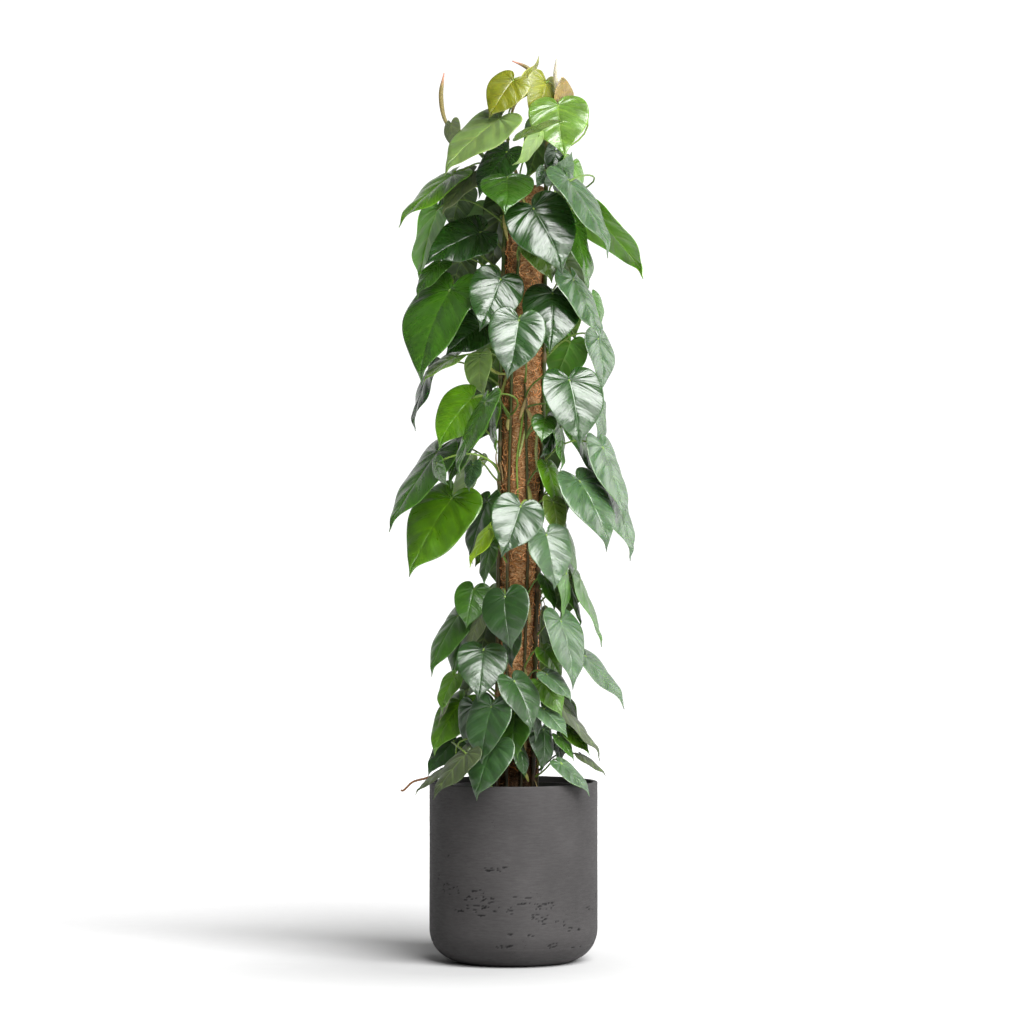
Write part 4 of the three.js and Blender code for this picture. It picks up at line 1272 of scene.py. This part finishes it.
def add_stalk(shape, leaf, draw):
    steps = 14
    path = spaced(leaf["stalk"], steps)
    t = np.linspace(0, 1, steps + 1)
    radii = 1.5 + 1.1 * np.exp(-t * 14) + 0.35 * np.exp(-(1 - t) * 16)
    tone = STALK_DARK + (STALK_GREEN - STALK_DARK) * (0.35 + 0.65 * draw())
    tone = tone * (0.45 if leaf["tone"] == "shade" else 1)
    tones = tone * (0.85 + 0.4 * t)[:, None]
    shape.tube(path, radii, 7, tones)


def add_stem(shape, stem, nodes):
    path = curve_through(stem["points"], 10)
    heights = path[:, 2]
    lengths = lengths_along(path)
    left = lengths[-1] - lengths
    girth = STEM_RADIUS * (FRONT_GIRTH if stem["name"] in FRONT_VINES else SIDE_GIRTH)
    radii = girth * (0.25 + 0.40 * smoothstep(0, 28, left) + 0.20 * smoothstep(40, 190, left))
    radii = radii * (1 + 0.05 * noise_at(path, 22, 3)) + 1.1 * np.exp(-((left - 45) / 28) ** 2)
    scar = np.zeros(len(path))
    for node in nodes:
        gap = np.linalg.norm(path - node, axis=1)
        radii = radii * (1 + 0.22 * np.exp(-(gap / 5) ** 2))
        scar = np.maximum(scar, np.exp(-(gap / 4) ** 2))
    age = smoothstep(1320, 500, heights) * 0.75
    patchy = np.clip(age + 0.35 * noise_at(path, 35, 5), 0, 1)
    tones = STEM_GREEN + np.outer(patchy, STEM_BROWN - STEM_GREEN)
    tones = tones + np.outer(scar * 0.6, SHEATH_TAN * 0.6 - STEM_GREEN)
    if stem["points"][-1][2] > FRESH_END:
        fresh = 1 - smoothstep(60, 130, left)
        tones = tones + fresh[:, None] * (SHOOT_TAN - tones)
        tones = tones + (1 - smoothstep(0, 25, left))[:, None] * (SHOOT_PINK - tones)
    # Painted shade: the stems are made darker towards the soil, under the lowest leaves
    tones = tones * (0.3 + 0.7 * smoothstep(SOIL_TOP, SOIL_TOP + 110, heights))[:, None]
    shape.tube(path, radii, 10, tones)


def add_root_mat(shape, stem):
    """The short roots that grip the sleeve all along a stem."""
    path = curve_through(stem["points"], 6)
    path = path[(path[:, 2] > SOIL_TOP + 4) & (path[:, 2] < SLEEVE_TOP - 14)]
    inward = (np.array([pole_axis(z) for z in path[:, 2]]) - path) * [1, 1, 0]
    inward /= np.linalg.norm(inward, axis=1)[:, None]
    radii = 2.3 + 0.9 * noise_at(path, 9, 41)
    tones = np.outer(0.55 + 0.25 * noise_at(path, 14, 43), ROOT_BROWN)
    shape.tube(path + inward * 3.2, radii, 6, tones)


def on_sleeve(angle, z, lift):
    reach = SLEEVE_RADIUS + lift
    return pole_axis(z) + np.array([reach * math.cos(angle), reach * math.sin(angle), 0])


def add_roots(shape, nodes, draw):
    """Aerial roots that leave the nodes and cling to the sleeve."""
    for node in nodes:
        if node[2] > SLEEVE_TOP - 25 or node[2] < SOIL_TOP + 25:
            continue
        start = bearing(node)
        for _ in range(int(draw() * 2.3)):
            way = 1 if draw() > 0.5 else -1
            turn = way * (0.25 + 0.9 * draw())
            drop = 14 * (draw() - 0.25) * 2
            radius = 0.7 + 0.7 * draw()
            t = np.linspace(0, 1, 8)
            path = [node - (node - pole_axis(node[2])) * 0.05]
            for share in t[1:]:
                wiggle = 2.5 * math.sin(9 * share + 6 * draw())
                path.append(on_sleeve(start + turn * share ** 0.8, node[2] - drop * share + wiggle * share,
                                      0.7 + 2.2 * (1 - share) * draw()))
            tone = ROOT_BROWN + (ROOT_ORANGE - ROOT_BROWN) * draw()
            shape.tube(path, radius * (1 - 0.6 * t), 6, np.outer(0.8 + 0.4 * t, tone))


def add_sheath(shape, node, outward, draw):
    """A dried leaf sheath: a narrow papery strip that hangs from a node."""
    length = 22 + 34 * draw()
    sideways = np.cross(UP, outward)
    lean = (draw() - 0.5) * 1.1
    t = np.linspace(0, 1, 9)
    curl = 9 * draw()
    path = node + np.outer(-t * length, UP) + np.outer(lean * t * length, sideways)
    path = path + np.outer(2.5 + np.sin(t * math.pi) * curl, outward)
    path[0] = node
    radii = 0.5 + (2.0 + 1.6 * draw()) * np.sin(math.pi * np.clip(t, 0.08, 1)) ** 0.7
    tone = SHEATH_TAN + (STALK_YELLOW - SHEATH_TAN) * draw()
    shape.tube(path, radii, 8, np.outer(0.6 + 0.6 * t, tone), squash=0.22)


# What shows on the front of the pole, by its pixels: kind, path, radius in mm, tone, flatness
SHOOT_PALE = np.array([0.42, 0.46, 0.17])
FRONT_DETAILS = [
    ("green", [(480, 358), (488, 366), (496, 372), (508, 374)], 2.6, STALK_YELLOW, 1),
    ("dry", [(508, 373), (503, 388), (496, 404), (488, 421)], 3.2, STALK_YELLOW, 0.3),
    ("green", [(537, 432), (536, 450), (537, 472)], 3.2, SHOOT_PALE, 0.8),
    ("green", [(527, 425), (523, 440), (519, 457)], 2.8, SHOOT_PALE, 0.8),
    ("dry", [(500, 462), (502, 472), (503, 483)], 2.6, SHEATH_TAN, 0.6),
    ("green", [(524, 405), (521, 430), (517, 460), (518, 498)], 2.0, STALK_GREEN, 1),
    ("dry", [(493, 405), (496, 418), (495, 433)], 1.5, ROOT_ORANGE, 1),
    ("dry", [(505, 439), (508, 456), (506, 478)], 1.5, ROOT_ORANGE, 1),
    ("dry", [(543, 452), (544, 474), (541, 496)], 1.3, ROOT_BROWN, 1),
    ("dry", [(517, 404), (521, 398), (526, 405)], 1.6, ROOT_ORANGE, 1),
    ("dry", [(519, 398), (523, 406), (528, 399)], 1.3, ROOT_ORANGE, 1),
    ("dry", [(518, 580), (527, 588), (536, 595)], 1.6, ROOT_BROWN, 1),
    ("dry", [(530, 664), (535, 669), (541, 671)], 1.5, ROOT_ORANGE, 1),
    ("dry", [(536, 364), (539, 368), (541, 373)], 1.3, ROOT_ORANGE, 1),
]
DETAIL_OWNER = "vine_front"


def on_front(px, py, lift):
    """The point of the sleeve's front, or of the stem line beside it, that shows at a pixel."""
    point = through_pixel(px, py, -SLEEVE_RADIUS)
    aside = point[0] - pole_axis(point[2])[0]
    reach = SLEEVE_RADIUS + lift
    point[1] = -math.sqrt(max(reach * reach - aside * aside, 120))
    return point


def add_front_details(green, dry, draw):
    for kind, pixels, radius, tone, flat in FRONT_DETAILS:
        shape = green if kind == "green" else dry
        corners = [on_front(px, py, 0.5 + radius * flat) for px, py in pixels]
        path = curve_through(corners, 6)
        t = np.linspace(0, 1, len(path))
        swell = 0.45 + 0.55 * np.sin(math.pi * np.clip(t * 0.9 + 0.1, 0, 1)) ** 0.6
        tones = np.outer(0.8 + 0.35 * t, tone * (0.85 + 0.3 * draw()))
        shape.tube(path, radius * swell, 9, tones, squash=flat)


# Vines

stems = [{"name": name, "points": stem_points(turns, free)} for name, turns, free in VINES]
plan = grow_leaves(stems)

for index, stem in enumerate(stems):
    name = stem["name"].replace("vine_", "")
    own = [blade for blade in plan["blades"] if blade["owner"] == stem["name"]]
    draw = mulberry(VINE_SEED + index)
    leaves = Shape()
    green = Shape()
    dry = Shape()
    nodes = [blade["stalk"][0] for blade in own]
    for blade in own:
        if blade["tone"] == "sheath":
            add_spear(green, blade)
        else:
            add_leaf(leaves, blade, draw)
        add_stalk(green, blade, draw)
    add_stem(green, stem, nodes)
    add_root_mat(dry, stem)
    add_roots(dry, nodes, draw)
    for node in nodes:
        if draw() > 1 - SHEATH_SHARE:
            add_sheath(dry, node, level_unit(node - pole_axis(node[2])), draw)
    if stem["name"] == DETAIL_OWNER:
        add_front_details(green, dry, draw)
    if stem["name"] == RIM_ROOT_OWNER:
        route = curve_through(RIM_ROOT, 8)
        t = np.linspace(0, 1, len(route))
        tones = np.outer(1 + 0.3 * t, ROOT_BROWN * RIM_ROOT_SHADE)
        dry.tube(route, RIM_ROOT_GIRTH * RIM_ROOT_RADIUS * (1 - 0.35 * t), 8, tones)
    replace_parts(leaves.object("leaves_" + name, "plant_tissue", [LEAF_UPPER, LEAF_UNDER]), stem["name"])
    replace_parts(green.object("stems_" + name, "plant_tissue", [GREEN_TISSUE]), stem["name"])
    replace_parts(dry.object("roots_" + name, "plant_tissue", [DRY_TISSUE]), stem["name"])


# Pole

def lean(points):
    """Points of the upright pole, turned as the pole leans."""
    turned = points.copy()
    turned[:, 0] = points[:, 0] * math.cos(POLE_LEAN) + points[:, 2] * math.sin(POLE_LEAN)
    turned[:, 2] = points[:, 2] * math.cos(POLE_LEAN) - points[:, 0] * math.sin(POLE_LEAN)
    return turned


def painted_soil_shade(z):
    """How much darker the sleeve is made towards the soil: painted shade under the lowest leaves."""
    return SOIL_PAINTED_SHADE + (1 - SOIL_PAINTED_SHADE) * smoothstep(SOIL_TOP + 10, SOIL_TOP + 170, z)


def add_fibre(shape, draw):
    """One curled fibre on the sleeve, either loose and pale or pressed into the mat."""
    angle = 2 * math.pi * draw()
    z = SOIL_TOP - 6 + (SLEEVE_TOP - SLEEVE_EDGE - SOIL_TOP) * draw()
    loose = draw() < LOOSE_FIBRES
    curl = 4 + 9 * draw() if loose else 3 + 9 * draw() ** 1.5
    begin = 2 * math.pi * draw()
    sweep = 1.5 + 2.6 * draw()
    stand = 2.0 + 2.6 * draw() if loose else 0.5 + 2.4 * draw() ** 2
    share = np.linspace(0, 1, 7)
    along = begin + sweep * share
    reach = SLEEVE_RADIUS + stand * np.sin(math.pi * share) - 0.3
    height = np.minimum(z + curl * np.sin(along), SLEEVE_TOP - 3)
    turn = angle + curl * np.cos(along) / SLEEVE_RADIUS
    shade = (1.35 + 0.65 * draw()) if loose else (0.3 + 0.9 * draw())
    # Painted shade towards the soil
    shade *= painted_soil_shade(z)
    thick = 0.55 + 0.35 * draw() if loose else 0.28 + 0.4 * draw() ** 2
    path = lean(np.stack([reach * np.cos(turn), reach * np.sin(turn), height], axis=-1))
    shape.tube(path, thick, 3, (shade, shade * 0.97, shade * 0.92))


sleeve = Shape()
sleeve_foot = SLEEVE_TOP - SLEEVE_EDGE
sleeve_end = SLEEVE_TOP - SLEEVE_END_INSET
body = [(SLEEVE_RADIUS - SLEEVE_INSET, z) for z in np.linspace(SLEEVE_BOTTOM, sleeve_foot, SLEEVE_RINGS)]
cap = arc((SLEEVE_RADIUS - SLEEVE_EDGE, sleeve_foot), SLEEVE_EDGE - SLEEVE_END_INSET, 10, 90, 5)
inner = [(r, sleeve_end) for r in (18, 12, 6)]
points, faces = lathe([(0, SLEEVE_BOTTOM), *body, *cap, *inner, (0, sleeve_end)], SLEEVE_SIDES)
radial, _ = outward_of(points)
bumps = 1.8 * noise_at(points, 13, 11) + 1.0 * noise_at(points * [1, 1, 1.6], 5, 12)
points = lean(points + radial * bumps[:, None])
# Painted shade towards the soil
sleeve.add(points, np.outer(painted_soil_shade(points[:, 2]), (0.86, 0.87, 0.86)), *faces)
draw = mulberry(FIBRE_SEED)
for _ in range(FIBRES):
    add_fibre(sleeve, draw)
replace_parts(sleeve.object("coir", "coir_fibre", [coir_material()]), "coir_sleeve")

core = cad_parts["pole_core"]
core.data.materials.clear()
core.data.materials.append(wood_material())


# Planter

def on_planter(px, py):
    """The turn and height of the planter's front at a pixel."""
    point = through_pixel(px, py, -PLANTER_RADIUS)
    aside = min(abs(point[0]), PLANTER_RADIUS - 1)
    front = -math.sqrt(PLANTER_RADIUS ** 2 - aside * aside)
    point = through_pixel(px, py, front)
    return math.atan2(front, math.copysign(aside, point[0])), point[2]


def pit_places(draw):
    """The turn and height of each cast pit: the clusters that show, and loose bands round the back."""
    for px, py, wide, tall, pits in PIT_CLUSTERS:
        for _ in range(pits):
            yield on_planter(px + 2 * wide * (draw() - 0.5), py + 2 * tall * (draw() - 0.5))
    for band, clusters in PIT_BANDS:
        for _ in range(clusters):
            centre = math.pi * (draw() * 1.1 - 0.05)
            level = band + 14 * (draw() - 0.5)
            for _ in range(5 + int(9 * draw())):
                angle = centre + 0.30 * (draw() - 0.5)
                yield angle, level + 15 * (draw() - 0.5) + 6 * (angle - centre)


def pit_depths(points, draw):
    """How deep the pits are at each point, as a share of the deepest."""
    turns = np.arctan2(points[:, 1], points[:, 0])
    depth = np.zeros(len(points))
    for angle, z in pit_places(draw):
        wide = 1.3 + 3.8 * draw() ** 3
        tall = 0.95 + 0.4 * draw()
        aside = PLANTER_RADIUS * np.angle(np.exp(1j * (turns - angle)))
        inward = 1 - (aside / wide) ** 2 - ((points[:, 2] - z) / tall) ** 2
        depth = np.maximum(depth, np.clip(2 * inward, 0, 1))
    return np.sqrt(depth)


inner_foot = PLANTER_FOOT_RADIUS - PLANTER_WALL
foot_centre = PLANTER_RADIUS - PLANTER_FOOT_RADIUS
inside = PLANTER_RADIUS - PLANTER_WALL
rim_low = PLANTER_HEIGHT - PLANTER_LIP
profile = [(0, 0), (40, 0)]
profile += arc((foot_centre, PLANTER_FOOT_RADIUS), PLANTER_FOOT_RADIUS, -90, 0, 44)
profile += [(PLANTER_RADIUS, z) for z in np.linspace(57, 200, 84)]
profile += [(PLANTER_RADIUS, z) for z in np.linspace(206, rim_low - 2, 14)]
profile += arc((PLANTER_RADIUS - PLANTER_LIP, rim_low), PLANTER_LIP, 0, 90, 4)
profile += arc((inside + PLANTER_LIP, rim_low), PLANTER_LIP, 90, 180, 4)
profile += [(inside, z) for z in (280, 200, 120, 66)]
profile += arc((foot_centre, PLANTER_FLOOR + inner_foot), inner_foot, 0, -90, 8)
profile += [(40, PLANTER_FLOOR), (0, PLANTER_FLOOR)]
points, faces = lathe(profile, PLANTER_SIDES)
radial, reach = outward_of(points)
outer = (reach > inside + 3) | ((points[:, 2] < PLANTER_FLOOR - 3) & (reach > foot_centre))
points = points - radial * (outer * PLANTER_INSET)[:, None]
pits = pit_depths(points, mulberry(PIT_SEED)) * outer
points = points - radial * (PIT_DEPTH * pits)[:, None]
planter = Shape()
# Painted shade: each pit's points are made darker the deeper the pit is
planter.add(points, np.outer(1 - PIT_PAINTED_SHADE * pits, np.ones(3)), *faces)
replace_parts(planter.object("planter_body", "planter_concrete", [concrete_material()]), "planter")

# Nursery pot

flange_in = NURSERY_RIM_RADIUS - 4 + NURSERY_LIP
flange_out = NURSERY_RIM_RADIUS - NURSERY_LIP
inner_floor = NURSERY_BOTTOM + NURSERY_WALL
shoulder = NURSERY_TOP - NURSERY_RIM_DROP
rise = shoulder - NURSERY_BOTTOM
flare = NURSERY_TOP_RADIUS - NURSERY_BOTTOM_RADIUS
profile = [(r, NURSERY_BOTTOM) for r in (0, DRAIN_RING_RADIUS - 10, NURSERY_BOTTOM_RADIUS)]
profile += [(NURSERY_BOTTOM_RADIUS + flare * t, NURSERY_BOTTOM + rise * t) for t in np.linspace(0.02, 1, 14)]
profile += arc((flange_out, shoulder + NURSERY_LIP), NURSERY_LIP, -90, 0, 3)
profile += arc((flange_out, NURSERY_TOP - NURSERY_LIP), NURSERY_LIP, 0, 90, 4)
profile += arc((flange_in, NURSERY_TOP - NURSERY_LIP), NURSERY_LIP, 90, 180, 4)
profile += [(NURSERY_TOP_RADIUS - NURSERY_WALL, shoulder)]
profile += [(NURSERY_BOTTOM_RADIUS - NURSERY_WALL + flare * t, inner_floor + rise * t)
            for t in np.linspace(0.96, 0, 12)]
profile += [(DRAIN_RING_RADIUS - 10, inner_floor), (0, inner_floor)]
points, faces = lathe(profile, NURSERY_SIDES)
nursery = Shape()
nursery.add(points, (1, 1, 1), *faces)
pot = nursery.object("nursery_body", "nursery_plastic", [plastic_material()])
drill = Shape()
for hole in range(DRAIN_HOLES):
    angle = 2 * math.pi * (hole + 0.5) / DRAIN_HOLES
    x, y = DRAIN_RING_RADIUS * math.cos(angle), DRAIN_RING_RADIUS * math.sin(angle)
    drill.tube([(x, y, NURSERY_BOTTOM - 5), (x, y, NURSERY_BOTTOM + 5)], DRAIN_RADIUS, 24, (1, 1, 1))
drill_mesh = bpy.data.meshes.new("drill")
drill_faces = [tuple(face) for faces, _ in drill.faces for face in faces.tolist()]
drill_mesh.from_pydata((np.vstack(drill.points) * MM).tolist(), [], drill_faces)
drill_object = new_object("drill", drill_mesh)
cut = pot.modifiers.new("drain_holes", "BOOLEAN")
cut.object = drill_object
cut.operation = "DIFFERENCE"
cut.solver = "EXACT"
bpy.context.view_layer.update()
drilled = bpy.data.meshes.new_from_object(pot.evaluated_get(bpy.context.evaluated_depsgraph_get()))
pot.modifiers.clear()
pot.data = drilled
bpy.data.objects.remove(drill_object)
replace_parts(pot, "nursery_pot")


# Soil

def crumb(size, draw):
    """A small uneven crumb: its points and faces."""
    ring = np.arange(6) * math.pi / 3
    layers = [(0.62, -0.6), (1, 0), (0.62, 0.62)]
    points = [np.array([r * math.cos(a), r * math.sin(a), z]) for r, z in layers for a in ring]
    points += [np.array([0, 0, -1.0]), np.array([0, 0, 1.0])]
    return np.array([p * (0.7 + 0.6 * draw()) for p in points]) * size, ring_faces(3, 6)


def add_crumb(shape, draw):
    angle = 2 * math.pi * draw()
    radius = (SOIL_RADIUS - 5) * math.sqrt(draw())
    size = 1.3 + 3.2 * draw() ** 2
    points, faces = crumb(size, draw)
    points = points * [0.8 + 0.9 * draw(), 0.8 + 0.4 * draw(), 0.7]
    turn = 2 * math.pi * draw()
    x = points[:, 0] * math.cos(turn) - points[:, 1] * math.sin(turn)
    y = points[:, 0] * math.sin(turn) + points[:, 1] * math.cos(turn)
    z = SOIL_TOP + SOIL_RISE * (1 - (radius / SOIL_RADIUS) ** 2) + 0.3 * size
    points = np.stack([x + radius * math.cos(angle), y + radius * math.sin(angle), points[:, 2] + z], axis=-1)
    shade = 0.7 + 1.6 * draw()
    shape.add(points, (shade, shade * 0.95, shade * 0.9), *faces)


soil = Shape()
profile = [(0, 15), (78, 15), (112, 240)]
profile += [(SOIL_RADIUS - r, SOIL_TOP + SOIL_RISE * (1 - (1 - r / SOIL_RADIUS) ** 2))
            for r in np.linspace(0.5, SOIL_RADIUS - 2, 40)]
profile += [(0, SOIL_TOP + SOIL_RISE)]
points, faces = lathe(profile, SOIL_SIDES)
top = smoothstep(250, 268, points[:, 2])
points[:, 2] += top * (1.6 * noise_at(points, 12, 31) + 1.1 * noise_at(points, 5, 32))
soil.add(points, (1, 1, 1), *faces)
draw = mulberry(CRUMB_SEED)
for _ in range(CRUMBS):
    add_crumb(soil, draw)
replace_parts(soil.object("soil", "potting_soil", [soil_material()], smooth=False), "potting_soil")

# Camera and floor

camera_data = bpy.data.cameras.new("camera")
camera_data.sensor_width = SENSOR_WIDTH
camera_data.lens = FOCAL * SENSOR_WIDTH / FRAME_WIDTH
camera = new_object("camera", camera_data)
camera.location = (EYE_X * MM, -EYE_DISTANCE * MM, EYE_Z * MM)
camera.rotation_euler = (math.radians(90), 0, 0)
bpy.context.scene.camera = camera

floor_mesh = bpy.data.meshes.new("floor")
corners = [(x * FLOOR_HALF, y * FLOOR_HALF, 0) for x, y in ((-1, -1), (1, -1), (1, 1), (-1, 1))]
floor_mesh.from_pydata(corners, [], [(0, 1, 2, 3)])
floor_mesh.materials.append(floor_material())
floor = new_object("floor", floor_mesh)


# Light

def aim(lamp, direction):
    lamp.rotation_euler = Vector(direction).to_track_quat("-Z", "Y").to_euler()


for name, place, target_height, size, power in SOFTBOXES:
    light = bpy.data.lights.new(name, "AREA")
    light.shape = "SQUARE"
    light.size = size
    light.energy = power
    lamp = new_object(name, light)
    lamp.location = place
    aim(lamp, Vector((0, 0, target_height)) - Vector(place))

sun = bpy.data.lights.new("key", "SUN")
sun.energy = KEY_POWER
sun.angle = math.radians(KEY_SPREAD)
aim(new_object("key", sun), KEY_DIRECTION)

world = bpy.data.worlds.new("studio")
bpy.context.scene.world = world
sky = Graph(world)
direction = sky.node("TexCoord", {}, "Generated")
depth = sky.value("MULTIPLY_ADD", sky.part_of(direction, 1), 0.5, 0.5)
side = sky.value("MULTIPLY_ADD", sky.part_of(direction, 0), 0.5, 0.5)
behind = sky.ramp(depth, (0.0, 0.10), (0.5, 0.10), (0.86, 0.22), (0.965, 1.15))
right = sky.ramp(side, (0.0, 0.8), (0.5, 1.0), (1.0, 1.3))
sky.feed(sky.tree.nodes["Background"], {"Color": sky.times(behind, right), "Strength": 1.0})
bpy.context.scene.view_settings.view_transform = "Standard"
